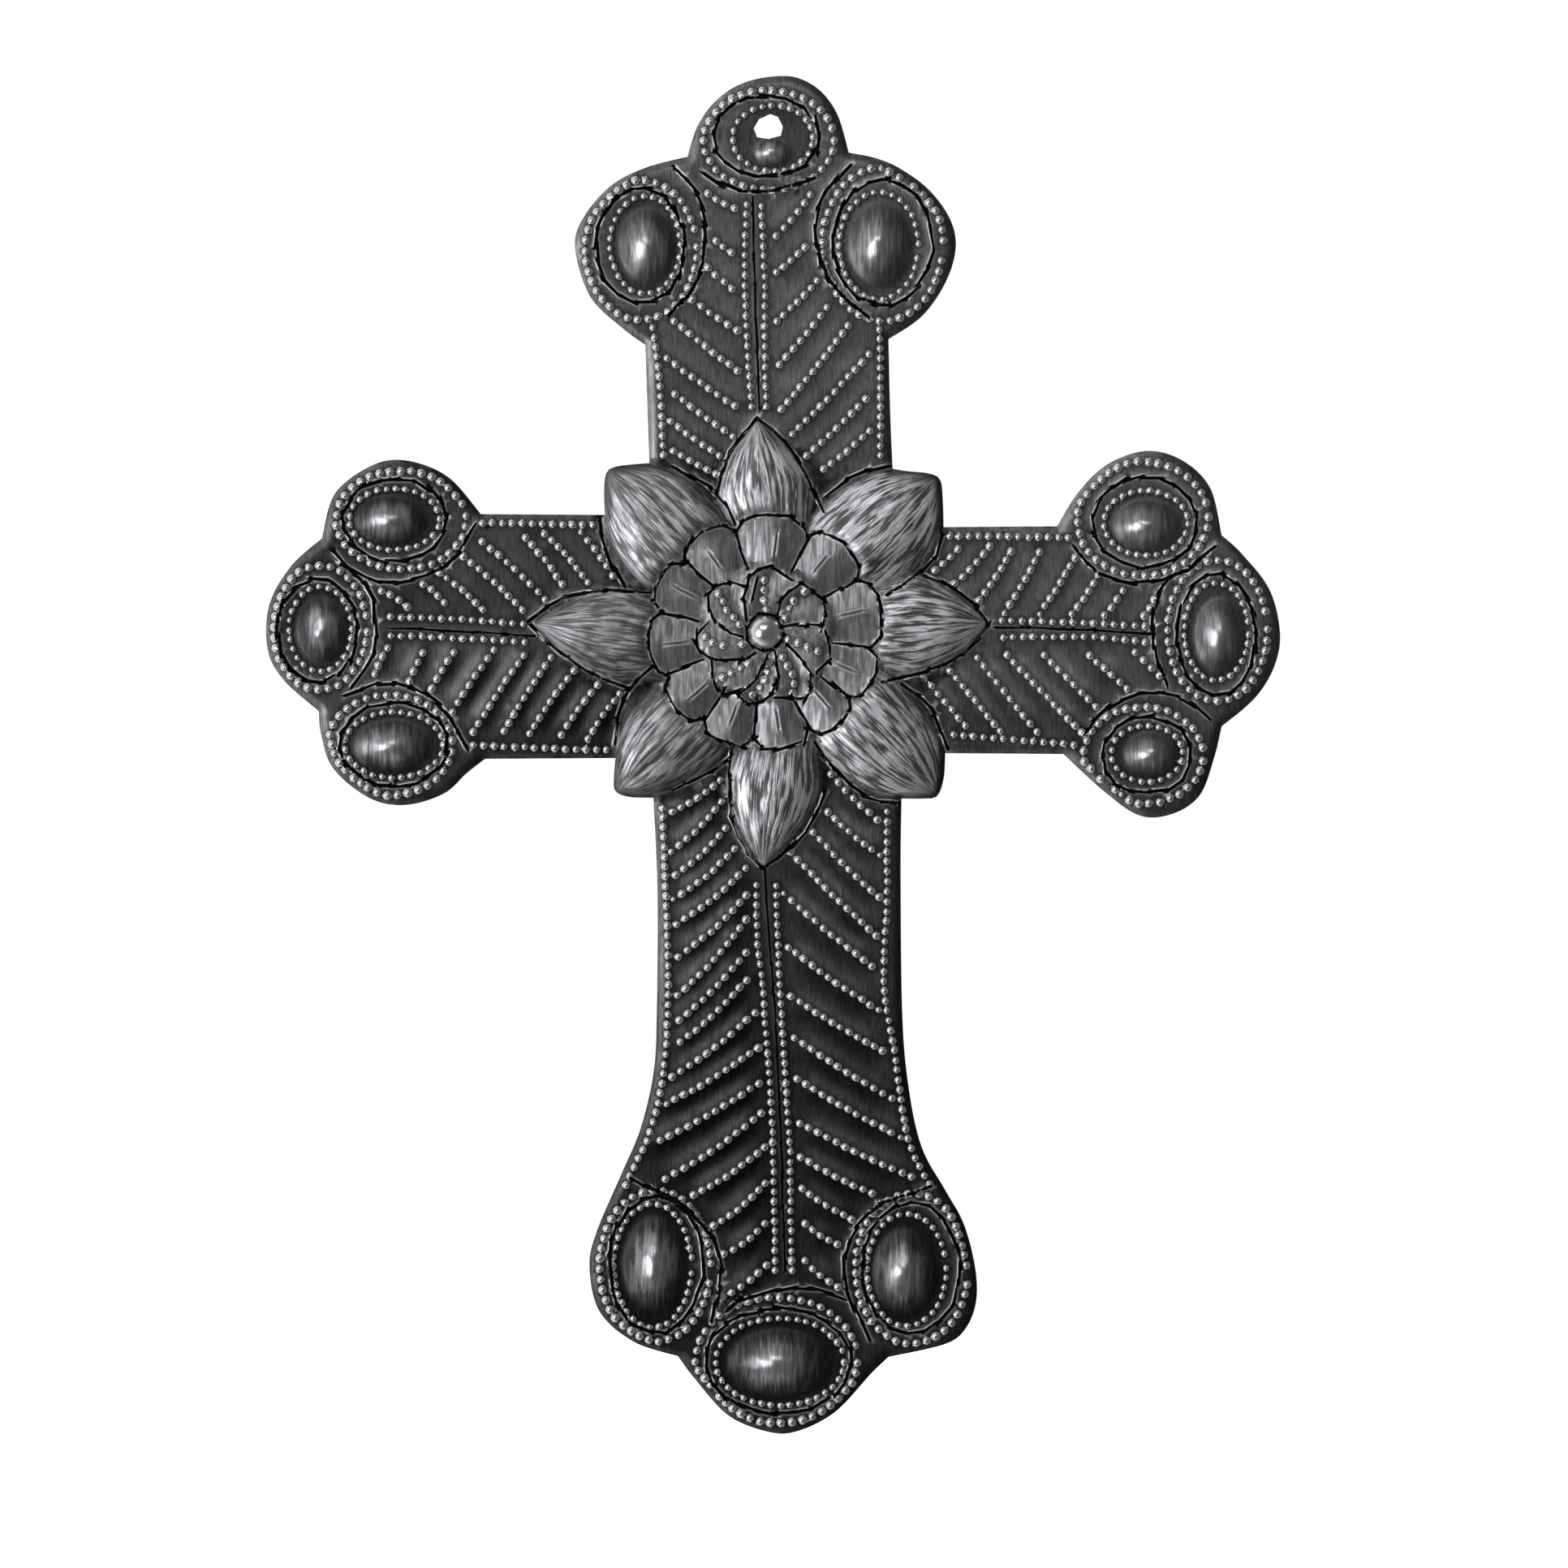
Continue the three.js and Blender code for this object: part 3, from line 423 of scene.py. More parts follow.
SWIRL_LINES = [
    [(-5, -121.4), (-5.8, -117)], [(-5.8, -116.3), (-4.5, -110.8)],
    [(-4.6, -110.9), (-3.3, -109.8), (-0.8, -108.4), (2.6, -109.2), (5.9, -111.7)],
    [(1.8, -120.6), (3.3, -116.8)],
    [(2.9, -116.8), (6.4, -113.5), (8.4, -112.7), (10.4, -113.3), (13.9, -116.8)],
    [(14.1, -117.3), (14.3, -120.1), (13, -123.7)], [(3.6, -123.5), (6.9, -122.7), (13, -123.2)],
    [(14, -124.9), (15.1, -127.7), (15.3, -131.6), (12.2, -133.9)],
    [(4.6, -127.8), (6.9, -129.8), (9.2, -132.4), (10.7, -135.2)],
    [(10.7, -135.2), (10.6, -139), (8.9, -141), (2.5, -140.8)],
    [(2, -129.8), (2.8, -134.6), (2.5, -138.5)],
    [(1.8, -136.7), (1.2, -139.8), (-0.3, -141.3), (-3.3, -142.3), (-5.9, -141.8), (-7.4, -140.5)],
    [(-0.3, -130.6), (-1.8, -134.1), (-3.6, -136.7), (-5.9, -139), (-10, -140)],
    [(-13.5, -132.4), (-13.8, -135.4), (-12.8, -138.2), (-10.5, -140), (-6.9, -139)],
    [(-3.6, -130), (-6.9, -131.6), (-9.7, -131.8), (-13.8, -130.8)],
    [(-17.4, -124.2), (-17.9, -126.5), (-17.1, -128.8), (-14.3, -131)],
    [(-14.8, -122.4), (-17.4, -124.4)], [(-13.5, -121.4), (-10.5, -124.2), (-6.7, -126)],
    [
        (-6.1, -113.1), (-10, -112.5), (-12.8, -113.2), (-14.6, -115), (-15.2, -117.6),
        (-13.3, -121.6),
    ],
    [(-3, -111.7), (-3.7, -116.4)],
]
SWIRL_PEARLS = [
    (-0.8, -111.9), (-0.9, -114.2), (-1, -116.7), (-0.5, -119.1), (-0.8, -110.1),
    (9.2, -114.7), (7.9, -115.5), (6.5, -116.9), (5.3, -118.8), (4.1, -121.1),
    (4.8, -126.5), (6.1, -126.5), (7.6, -127.2), (9.8, -128.4), (12.5, -129.3),
    (3.8, -130.8), (4.9, -132.9), (6.1, -134.9), (6.6, -137.3), (6.2, -139.6),
    (0.2, -132.2), (0, -134.4), (-0.8, -136.4), (-1.8, -138.3), (-3.7, -140.1),
    (-4.9, -132.2), (-6.7, -133.6), (-9, -134.6), (-11.1, -135.7),
    (-15.2, -125.7), (-13.4, -127.1), (-11, -127.9), (-9, -127.9), (-6.3, -127.6),
    (-12.1, -115.1), (-10.9, -117), (-10, -119.1), (-8.4, -120.9), (-6.9, -122.7),
]


def flower_place(radius, degrees):
    """The place at some distance and direction from the middle of the flower."""
    angle = math.radians(degrees)
    return FLOWER_MIDDLE[0] + radius * math.cos(angle), FLOWER_MIDDLE[1] + radius * math.sin(angle)


def ring_rim(share):
    """How far out the round end of a ring petal reaches, from one of its sides to the other."""
    bulge = np.clip(1 - np.abs(2 * share - 1) ** 3, 0, 1) ** 0.5
    return RING_CUT_RADIUS + (RING_RADIUS - RING_CUT_RADIUS) * bulge


creases = []
for line in PETAL_LINES:
    chisel_line(line, *PETAL_STROKES)
for cut, following in zip(RING_CUTS, RING_CUTS[1:]):
    ends = (RING_CUT_RADIUS - 0.3, RING_INNER_RADIUS + 0.6)
    chisel_line([flower_place(radius, cut) for radius in ends], *RING_CUT_STROKES)
    middle = (cut + following) / 2 + hand.uniform(-3, 3)
    outer, inner = hand.uniform(*CREASE_OUTER), hand.uniform(*CREASE_INNER)
    creases.append((*flower_place(outer, middle), *flower_place(inner, middle)))
    shares = (0, 0.18, 0.5, 0.82, 1)
    rim = [flower_place(ring_rim(share), cut + (following - cut) * share) for share in shares]
    chisel_line(rim, *RING_RIM_STROKES)
for line in SWIRL_LINES:
    chisel_line(line, *SWIRL_STROKES)
chisel_line([flower_place(MOAT_RADIUS, angle) for angle in range(20, 400, 30)], *MOAT_STROKES)
for place in SWIRL_PEARLS:
    punch(*place)


def petal_axis(petal):
    """The length of a petal, and the direction from its root to its tip."""
    (x1, z1), (x2, z2), *_ = petal
    length = math.hypot(x2 - x1, z2 - z1)
    return length, (x2 - x1) / length, (z2 - z1) / length


def petal_share(petal, x, z):
    """How far each point is along a petal, and how far across it, from -1 to 1 at its sides."""
    (x1, z1), _, half_width, bluntness = petal
    length, ux, uz = petal_axis(petal)
    along = ((x - x1) * ux + (z - z1) * uz) / length
    across = (x - x1) * uz - (z - z1) * ux
    swell = 0.86 + 0.14 * np.clip(along / 0.3, 0, 1)
    narrow = 1 - np.clip((along - 0.3) / 0.7, 0, 1) ** bluntness
    return along, across / np.maximum(half_width * np.where(along < 0.3, swell, narrow), 0.05)


def petal_relief(petal, x, z):
    """Height of one long petal, round across and falling towards its tip."""
    along, across = petal_share(petal, x, z)
    side = np.clip(1 - np.abs(across) ** 2.3, 0, 1) ** 0.8
    end = np.clip(1 - np.clip((along - 0.5) / 0.5, 0, 1) ** 2.4, 0, 1) ** 0.9
    on = (np.abs(across) < 1) & (along > -0.45) & (along < 1)
    return np.where(on, PETAL_EDGE + (PETAL_RISE - PETAL_EDGE) * side * end, 0)


def hammering(petal, x, z):
    """Long shallow dents that follow a petal."""
    along, across = petal_share(petal, x, z)
    across = np.clip(across, -1, 1) * petal[2] * DENTS_ACROSS
    return uneven(across, along * petal_axis(petal)[0] * DENTS_ALONG, 1, petal[0][0])


def flower_polar(x, z):
    """Distance and direction of each point from the middle of the flower."""
    dx, dz = x - FLOWER_MIDDLE[0], z - FLOWER_MIDDLE[1]
    return np.hypot(dx, dz), np.degrees(np.arctan2(dz, dx))


def ring_shares(degrees):
    """Which petal of the ring each direction meets, and how far across it."""
    turned = (RING_CUTS[0] - degrees) % 360
    edges = np.array([RING_CUTS[0] - cut for cut in RING_CUTS])
    number = np.clip(np.searchsorted(edges, turned, side="right") - 1, 0, len(edges) - 2)
    return number, (turned - edges[number]) / (edges[number + 1] - edges[number])


def swirl_cut(radius):
    """Angle of the first cut of the swirl at some distance from the middle."""
    share = (radius - KNOB_RADIUS) / (SWIRL_RADIUS - KNOB_RADIUS)
    return SWIRL_START + SWIRL_LEAN * share


def from_segment(x, z, x1, z1, x2, z2):
    """How far along a straight line each point lies, from 0 to 1, and how far from it."""
    dx, dz = x2 - x1, z2 - z1
    share = np.clip(((x - x1) * dx + (z - z1) * dz) / (dx * dx + dz * dz), 0, 1)
    return share, np.hypot(x - x1 - share * dx, z - z1 - share * dz)


def crease_marks(x, z):
    """1 on the two lips of a crease, 0 beyond them, and the core between the lips, which is also
    painted with shade.
    """
    lips, core = np.zeros(len(x)), np.zeros(len(x))
    for crease in creases:
        share, gap = from_segment(x, z, *crease)
        taper = np.sqrt(np.clip(4 * share * (1 - share), 0, 1))
        lips = np.maximum(lips, taper * bell(gap - 0.2 - 0.35 * taper, 0.3))
        core = np.maximum(core, taper * bell(gap, 0.2))
    return lips, core


def flower_relief(x, z, ground):
    """Height of the flower over the arms: long petals, then ring, swirl, moat and knob."""
    height = ground
    for petal in LONG_PETALS.values():
        relief = petal_relief(petal, x, z)
        top = relief > np.maximum(height, 0.5)
        dents = PETAL_DENTS * hammering(petal, x[top], z[top])
        relief[top] += dents * np.clip(relief[top] - 0.5, 0, 1)
        height = np.maximum(height, relief)
    radius, degrees = flower_polar(x, z)
    _, share = ring_shares(degrees)
    rim = ring_rim(share)
    height = height - 0.5 * bell(radius - rim, 1.4) * (height > 1)
    roof = RING_ROOF * (1 - np.abs(2 * share - 1) ** 1.4)
    ring = RING_RISE - 1.7 + 0.05 * (radius - RING_INNER_RADIUS) + roof
    lips, core = crease_marks(x, z)
    ring = ring + CREASE_LIPS * lips - CREASE_CORE * core
    height = np.where(radius < rim, ring, height)

    petal_turn = 360 / SWIRL_PETALS
    swell = np.sin(np.pi * (((degrees - swirl_cut(radius)) % petal_turn) / petal_turn))
    rim = SWIRL_RADIUS + 1.3 * swell
    petal = SWIRL_RISE - SWIRL_SWELL + SWIRL_SWELL * swell**0.8
    petal -= 0.5 * np.clip((radius - rim + 2.4) / 2.4, 0, 1) ** 2
    height = np.where(radius < rim, petal, height)
    dome = np.sqrt(np.clip(1 - (radius / KNOB_RADIUS) ** 2, 0, 1))
    knob = KNOB_RISE - KNOB_DOME + KNOB_DOME * dome
    moat = MOAT_DEPTH * np.clip(1 - np.abs(radius - MOAT_RADIUS), 0, 1)
    return np.where(radius < KNOB_RADIUS, knob, height - moat)


# The arms. A chiselled midrib runs down the middle of each, with a row of pearls on both sides,
# and more rows follow the edges. Between them, herringbone rows are punched along low ridges.
# They are shallow on the upper arms and deeper on the lower ones, with painted light above each row
# and painted shade in the valleys below.
MIDRIB_STROKES = (7.5, 0.36, 0.6, 0.15)
EDGE_PITCH = 2.45
EDGE_PEARL = 1.05
EDGE_RIDGE = (0.05, 1.4, 1.4)
ROW_RIDGE_WIDTHS = (3.0, 1.5)
RIDGE_STEP = 1.5
RIDGE_FADE = 5
# Strength of the painted light above each row and of the painted shade below it.
PAINTED_LIGHT_ABOVE = 1.1
PAINTED_SHADE_BELOW = 1.15
MIDRIBS = [
    [(-3.8, -17.4), (-3, -43), (-2, -69.4)],
    [
        (-0.8, -183.8), (1, -207.2), (2, -218.6), (2.6, -232.4), (3.4, -252.8), (4, -274.2),
        (4.2, -281.4),
    ],
    [(-92.6, -123.6), (-75, -124.4), (-57.4, -125.6)],
    [(56.6, -123.2), (70.8, -123.8), (80.6, -124.2), (95.2, -125.1)],
]
EDGE_ROWS = [
    [(-5.2, -19), (-5.6, -36), (-5, -54), (-4, -69)],
    [(-1.6, -19.4), (-0.8, -36), (-0.6, -54), (-0.4, -69)],
    [(-2.8, -187), (-2.6, -200), (-1.3, -212), (-0.5, -223), (0.9, -242), (1.5, -262), (1.9, -282)],
    [(2, -187), (2.5, -200.6), (3.6, -221.8), (4.9, -242.7), (5.5, -252), (5.6, -262), (6, -282)],
    [(-93, -120.8), (-75, -121.4), (-60.4, -122.6)],
    [(-93, -125.4), (-75, -126.1), (-60, -127)],
    [(57.6, -121.6), (80.6, -122.3), (93, -123.1)],
    [(58, -125.8), (80.6, -125.8), (93, -127)],
    [(-70.4, -97.6), (-43.2, -98.2)],
    [(-72.6, -152.4), (-39.8, -153.6)],
    [(44.8, -100.8), (76.6, -101.4)],
    [(45.8, -149.8), (75.4, -152.2)],
    [(-28.8, -47), (-26.6, -62), (-25.8, -81)],
    [(27.6, -49.8), (27.8, -81)],
    [(-26.4, -167.8), (-24.4, -206.8), (-25.4, -231), (-28.8, -247.2), (-35, -261)],
    [(29.4, -168.8), (29.4, -189.8), (28.6, -211.6), (31, -227.2), (34.8, -250.2), (41, -262.8)],
]
# Each half arm has its ridge height, the sag of its rows, and the rows as x, z, x, z.
HERRINGBONE = {
    "upper left": (0.12, 0.2, [
        (-14.8, -16.4, -8.2, -20), (-12.8, -28, -7, -32), (-14.8, -34.6, -6.6, -41.4),
        (-18.6, -42.4, -7.6, -50.2), (-23, -47.8, -7.4, -60), (-24.8, -57, -8, -68.8),
        (-24.8, -64.2, -8.6, -76.2), (-23.8, -72.6, -11.8, -81), (-23.2, -79.8, -12.8, -85.6),
    ]),
    "upper right": (0.12, 0.3, [
        (2.2, -26.8, 10.6, -16.6), (0.2, -37.2, 9.2, -29.6), (2.2, -47.8, 12.2, -37.8),
        (2.8, -58.6, 16.2, -42.4), (3.4, -69.6, 21.4, -47), (6, -75.8, 25, -56),
        (9.6, -81, 24.2, -67), (13.8, -84.4, 25.2, -74.8),
    ]),
    "left upper": (0.16, -0.4, [
        (-95.4, -114.4, -89, -118.2), (-85, -112.8, -79.8, -117.2), (-81, -109.8, -70.2, -119),
        (-75, -106, -60.4, -119), (-70.4, -102.2, -54.8, -116.4), (-59.8, -101.2, -50.6, -112.8),
        (-55, -100.2, -44.2, -112.4), (-46.2, -100, -38.2, -110.6),
    ]),
    "left lower": (0.6, -0.3, [
        (-96.8, -135, -93.6, -128.4), (-88.4, -136.6, -83.6, -127.6),
        (-82.8, -138.4, -75.8, -127.4),
        (-77.8, -144.2, -67.4, -129), (-72.6, -149.2, -58.6, -128.2), (-65, -149, -53.4, -130.8),
        (-58.8, -149.6, -47.8, -134), (-51, -149.8, -41.8, -137.6), (-44.4, -150.8, -36.4, -139.6),
    ]),
    "right upper": (0.12, 0.3, [
        (41.2, -109.4, 48.6, -102.2), (46.2, -112.6, 54.8, -103.4), (52.2, -116.8, 60, -104.6),
        (58.4, -119.8, 67, -104.8), (67, -120, 75.8, -106.2), (75, -120, 81.6, -110.4),
        (83, -120.2, 87.6, -114.4), (92.8, -120.6, 95.2, -116.4),
    ]),
    "right lower": (0.5, 0, [
        (38.6, -135.8, 48.8, -147.6), (45, -134, 57.4, -149), (51.6, -130.8, 66.4, -149.2),
        (59, -130.2, 77.4, -149.4), (68.2, -130.2, 81, -143), (79.4, -130.2, 88.6, -138.4),
        (90.6, -129.6, 96.6, -135.2),
    ]),
    "lower left": (0.6, 0.8, [
        (-25.8, -169.8, -11.6, -161), (-23.8, -178.6, -11.4, -166.2),
        (-22.8, -184.4, -10.4, -172.8),
        (-23.2, -190.4, -8.2, -178), (-22.6, -196.6, -5.4, -182.8), (-22, -204.6, -5.2, -189.4),
        (-22.2, -214.2, -5.4, -195.4), (-23.8, -222, -5.4, -203.6), (-23.6, -227.2, -5.2, -210.4),
        (-23.6, -234.2, -3.2, -218.4), (-27.2, -242, -2.4, -227), (-31, -252, -2.2, -235.8),
        (-25.2, -259.4, -1.6, -243.2), (-18.4, -263.4, -0.8, -251.6), (-13.4, -271, -0.6, -260.4),
        (-10.8, -278, -0.8, -270.4), (-11.4, -288.6, -0.4, -280.6),
    ]),
    "lower right": (0.6, 0.4, [
        (15.6, -159.6, 27, -170.8), (14.8, -168.8, 27.6, -179.6), (11.2, -173.8, 27.4, -190),
        (5.8, -178.8, 26.8, -199.4), (4, -189, 25.8, -207), (5, -202.2, 27.4, -217.8),
        (5.8, -214.4, 28.4, -227.8), (6.6, -224.6, 30.6, -239.6), (7.2, -234.8, 34.8, -250.2),
        (7.8, -245.6, 35.4, -259), (8, -254, 25.8, -263), (8.4, -261.8, 20.8, -269.4),
        (9.2, -270.4, 17.2, -275.6), (9.2, -279.6, 17.4, -286.2),
    ]),
}

for line in MIDRIBS:
    chisel_line(line, *MIDRIB_STROKES)
ridges = []
for line in EDGE_ROWS:
    ridges.append((smooth_line(line, RIDGE_STEP), *EDGE_RIDGE))
    punch_row(line, EDGE_PITCH, EDGE_PEARL)
for ridge_rise, sag, rows in HERRINGBONE.values():
    for x1, z1, x2, z2 in rows:
        slope = np.array([z2 - z1, x1 - x2]) / math.hypot(x2 - x1, z2 - z1)
        middle = np.array([x1 + x2, z1 + z2]) / 2 - slope * sag * np.sign(slope[1])
        line = [(x1, z1), tuple(middle), (x2, z2)]
        ridges.append((smooth_line(line, RIDGE_STEP), ridge_rise, *ROW_RIDGE_WIDTHS))
        punch_row(line)


def ridge_relief(x, z):
    """Ridges along the rows, gentle above and steep below, and the painted shading of the ground
    there: painted light above a row and painted shade below it."""
    height, painted_shading = np.zeros(len(x)), np.ones(len(x))
    for line, rise, width, steep_width in ridges:
        low, high = line.min(0) - 5, line.max(0) + 5
        near = np.flatnonzero((x > low[0]) & (x < high[0]) & (z > low[1]) & (z < high[1]))
        gap, reach = np.full(len(near), 99.0), np.zeros(len(near))
        below = np.zeros(len(near), bool)
        for i, ((x1, z1), (x2, z2)) in enumerate(zip(line, line[1:])):
            share, found = from_segment(x[near], z[near], x1, z1, x2, z2)
            closer = found < gap
            to_end = RIDGE_STEP * np.minimum(i + share, len(line) - 1 - i - share)
            reach = np.where(closer, to_end, reach)
            under = (x2 - x1) * (z[near] - z1) < (z2 - z1) * (x[near] - x1)
            below = np.where(closer, under, below)
            gap = np.minimum(gap, found)
        swell = rise * (0.1 + 0.9 * np.clip(reach / RIDGE_FADE, 0, 1))
        spread = np.where(below, steep_width, width)
        height[near] = np.maximum(height[near], swell * bell(gap, spread))
        # Painted light above the row and painted shade below it, stronger on the higher ridges.
        lit = PAINTED_LIGHT_ABOVE * ~below * bell(gap - 1.8, 1.5)
        dark = PAINTED_SHADE_BELOW * below * bell(gap - 1.8, 1.6)
        painted_shading[near] += swell * (lit - dark)
    return height, np.clip(painted_shading, 0.3, 1.6)


# The worked surface. Its height at any place is the sum of what hammer, punch and chisel did
# there, and the turned edge. The same heights shape the back, where pearls are hollows.
PEARL_ROUNDNESS = 0.55
PEARL_FLAT = 0.05
BACK_PEARL_RISE = PEARL_RISE * 1.1
BEATING = 0.07
BEAT_SCALE = 0.45
RIPPLE = 0.16
RIPPLE_SCALE = 0.09


def groove_relief(x, z):
    """Depth of the chisel strokes, 0 to 1, and the burr that stands along their sides."""
    depth, burr = np.zeros(len(x)), np.zeros(len(x))
    order = np.argsort(x)
    sorted_x = x[order]
    reach = GROOVE_HALF_WIDTH * 3
    for x1, z1, x2, z2, width, end_width, burr_share in strokes:
        first = np.searchsorted(sorted_x, min(x1, x2) - reach)
        last = np.searchsorted(sorted_x, max(x1, x2) + reach)
        near = order[first:last]
        near = near[(z[near] > min(z1, z2) - reach) & (z[near] < max(z1, z2) + reach)]
        share, gap = from_segment(x[near], z[near], x1, z1, x2, z2)
        half = width + (end_width - width) * share
        depth[near] = np.maximum(depth[near], np.clip(1.5 - 1.5 * gap / half, 0, 1))
        side = bell(gap - half - 0.08, 0.17)
        burr[near] = np.maximum(burr[near], side * burr_share)
    return depth, burr * (depth < 0.3)


pearl_finder = nearest([(x, z) for x, z, _ in pearls])


def pearl_shares(x, z):
    """0 on top of the nearest pearl and 1 at its rim."""
    shares = np.empty(len(x))
    for i, (a, b) in enumerate(zip(x, z)):
        _, number, gap = pearl_finder.find((a, b, 0))
        shares[i] = gap / pearls[number][2]
    return shares


def struck_height(x, z, fine):
    """Height of the sheet before its edge is turned, the marks left by the tools, the painted light
    and shade beside the rows, and where painted shadow rings each pearl.
    """
    height, painted_shading = ridge_relief(x, z)
    height = np.maximum(height, boss_relief(x, z))
    height = flower_relief(x, z, height)
    shares = pearl_shares(x, z)
    pearl = np.clip(1 - shares**2, 0, 1)
    # The foot ring marks where a painted shadow lies round each pearl.
    marks = {"pearl": pearl, "foot": bell(shares - 1.15, 0.22), "painted_shading": painted_shading}
    if fine:
        depth, burr = groove_relief(x, z)
        lips, core = crease_marks(x, z)
        height = height + PEARL_RISE * pearl**PEARL_ROUNDNESS - PEARL_FLAT * (pearl > 0.9)
        height = height - GROOVE_DEPTH * depth + BURR_RISE * burr
        marks["groove"], marks["burr"] = np.maximum(depth, 0.3 * core), np.maximum(burr, lips)
    else:
        height = height + BACK_PEARL_RISE * pearl
    height = height + BEATING * uneven(x, z, BEAT_SCALE, 3) * np.clip(height, 0.3, 1.6)
    return height + RIPPLE * uneven(x, z, RIPPLE_SCALE, 8), marks


def edge_distance(x, z):
    """How far each point is from the cut edge."""
    return np.array([edge_finder.find((a, b, 0))[2] for a, b in zip(x, z)])


def turned_height(x, z, height):
    """The same height with the edge bent back."""
    edge = edge_distance(x, z)
    turned = np.clip(1 - edge / EDGE_BAND, 0, 1)
    return height * np.clip(edge / EDGE_ROUNDING, 0, 1) ** 0.7 - EDGE_TURN * turned**2


# The mesh of the sheet. Its front, its back and the cut through the thickness between them are
# one piece. The points lie along the cut edge, round every pearl and along every stroke, and then
# in a finer or wider field over the rest. The back, which is plainer, has fewer of them.
NET_CELL = 0.3
NETS = {
    "front": {
        "gap": NET_CELL, "edge bands": (0.4, 0.9, 1.5, 2.3), "fine": 0.9, "wide": 1.5,
        "pearl rings": ((0.46, 6), (0.84, 8), (1.05, 8)),
    },
    "back": {
        "gap": 0.62, "edge bands": (1.3, 2.6), "fine": 1.5, "wide": 2.6,
        "pearl rings": ((1.05, 6),),
    },
}
PEARL_POINT_GAP = 0.05
STROKE_POINT_GAP = 0.2
STROKE_POINT_STEP = 1.1
STROKE_FOOT = 0.38
CREASE_HALF_WIDTH = 0.5
CREASE_POINTS = 10
HOLE_REACH = 8
SMOOTH_ANGLE = 42


class Net:
    """Points that keep a small distance from each other."""

    def __init__(self, gap):
        self.gap = gap
        self.points = []
        self.cells = {}

    def add(self, x, z, gap=None):
        gap = self.gap if gap is None else gap
        column, line = math.floor(x / self.gap), math.floor(z / self.gap)
        reach = math.ceil(gap / self.gap)
        for i in range(column - reach, column + reach + 1):
            for k in range(line - reach, line + reach + 1):
                for a, b in self.cells.get((i, k), ()):
                    if (a - x) ** 2 + (b - z) ** 2 < gap * gap:
                        return
        self.cells.setdefault((column, line), []).append((x, z))
        self.points.append((x, z))


def inside(loop, x, z):
    """Which points lie inside a closed loop."""
    found = np.zeros(len(x), bool)
    for (x1, z1), (x2, z2) in zip(loop, np.roll(loop, -1, axis=0)):
        crosses = (z1 > z) != (z2 > z)
        rise = z2 - z1 if z2 != z1 else 1
        found ^= crosses & (x < (x2 - x1) * (z - z1) / rise + x1)
    return found


def add_edge_bands(net, offsets):
    """Lines of points beside the cut edge, on its inner side."""
    run = np.roll(cut_edge, -1, axis=0) - np.roll(cut_edge, 1, axis=0)
    run /= np.hypot(*run.T)[:, None]
    inward = np.stack([run[:, 1], -run[:, 0]], 1)
    for offset in offsets:
        band = cut_edge + inward * offset
        keep = inside(cut_edge, *band.T) & (edge_distance(*band.T) > offset * 0.8)
        for x, z in band[keep]:
            net.add(x, z)


def add_pearls(net, rings):
    """A point on top of every pearl, and rings of points round it."""
    for x, z, size in pearls:
        net.add(x, z, PEARL_POINT_GAP)
        turn = hand.uniform(0, math.tau)
        for share, count in rings:
            for i in range(count):
                angle = turn + i * math.tau / count
                place = x + size * share * math.cos(angle), z + size * share * math.sin(angle)
                net.add(*place, PEARL_POINT_GAP)


def add_line(net, line, sides, end_sides, count):
    """Points along a straight line and along its sides, which may draw together."""
    x1, z1, x2, z2 = line
    length = math.hypot(x2 - x1, z2 - z1)
    ux, uz = (x2 - x1) / length, (z2 - z1) / length
    for share in np.linspace(0, 1, count):
        at = length * share
        for side in sides + (end_sides - sides) * share:
            net.add(x1 + ux * at - uz * side, z1 + uz * at + ux * side, STROKE_POINT_GAP)


def sides_of(half_width, foot):
    """Offsets of the middle, the sides and the feet of a stroke."""
    return np.array([0, -half_width, half_width, -half_width - foot, half_width + foot])


def add_strokes(net):
    """Points along the middle, the sides and the feet of every crease and stroke."""
    crease_sides = sides_of(CREASE_HALF_WIDTH, CREASE_HALF_WIDTH)
    for crease in creases:
        add_line(net, crease, crease_sides, crease_sides, CREASE_POINTS)
    for *line, width, end_width, _ in strokes:
        length = math.hypot(line[2] - line[0], line[3] - line[1])
        count = max(2, round(length / STROKE_POINT_STEP)) + 1
        add_line(net, line, sides_of(width, STROKE_FOOT), sides_of(end_width, STROKE_FOOT), count)


def add_field(net, step, gap, keep):
    """Rows of points over the whole cross, a step apart and slightly uneven."""
    low, high = cut_edge.min(0), cut_edge.max(0)
    scatter = random.Random(5)
    places = []
    for line, z in enumerate(np.arange(low[1], high[1], step * 0.866)):
        for x in np.arange(low[0] + (line % 2) * step / 2, high[0], step):
            shift_x, shift_z = scatter.uniform(-0.1, 0.1), scatter.uniform(-0.1, 0.1)
            places.append((x + shift_x * step, z + shift_z * step))
    places = np.array(places)
    for x, z in places[keep(*places.T)].tolist():
        net.add(x, z, gap)


def on_raised_work(x, z):
    """Where the flower and the domes are, which take the finer field."""
    found = flower_polar(x, z)[0] < RING_RADIUS + 1
    for boss in BOSSES.values():
        found |= dome_share(boss, x, z) < 1.1
    for petal in LONG_PETALS.values():
        found |= petal_relief(petal, x, z) > 0
    return found


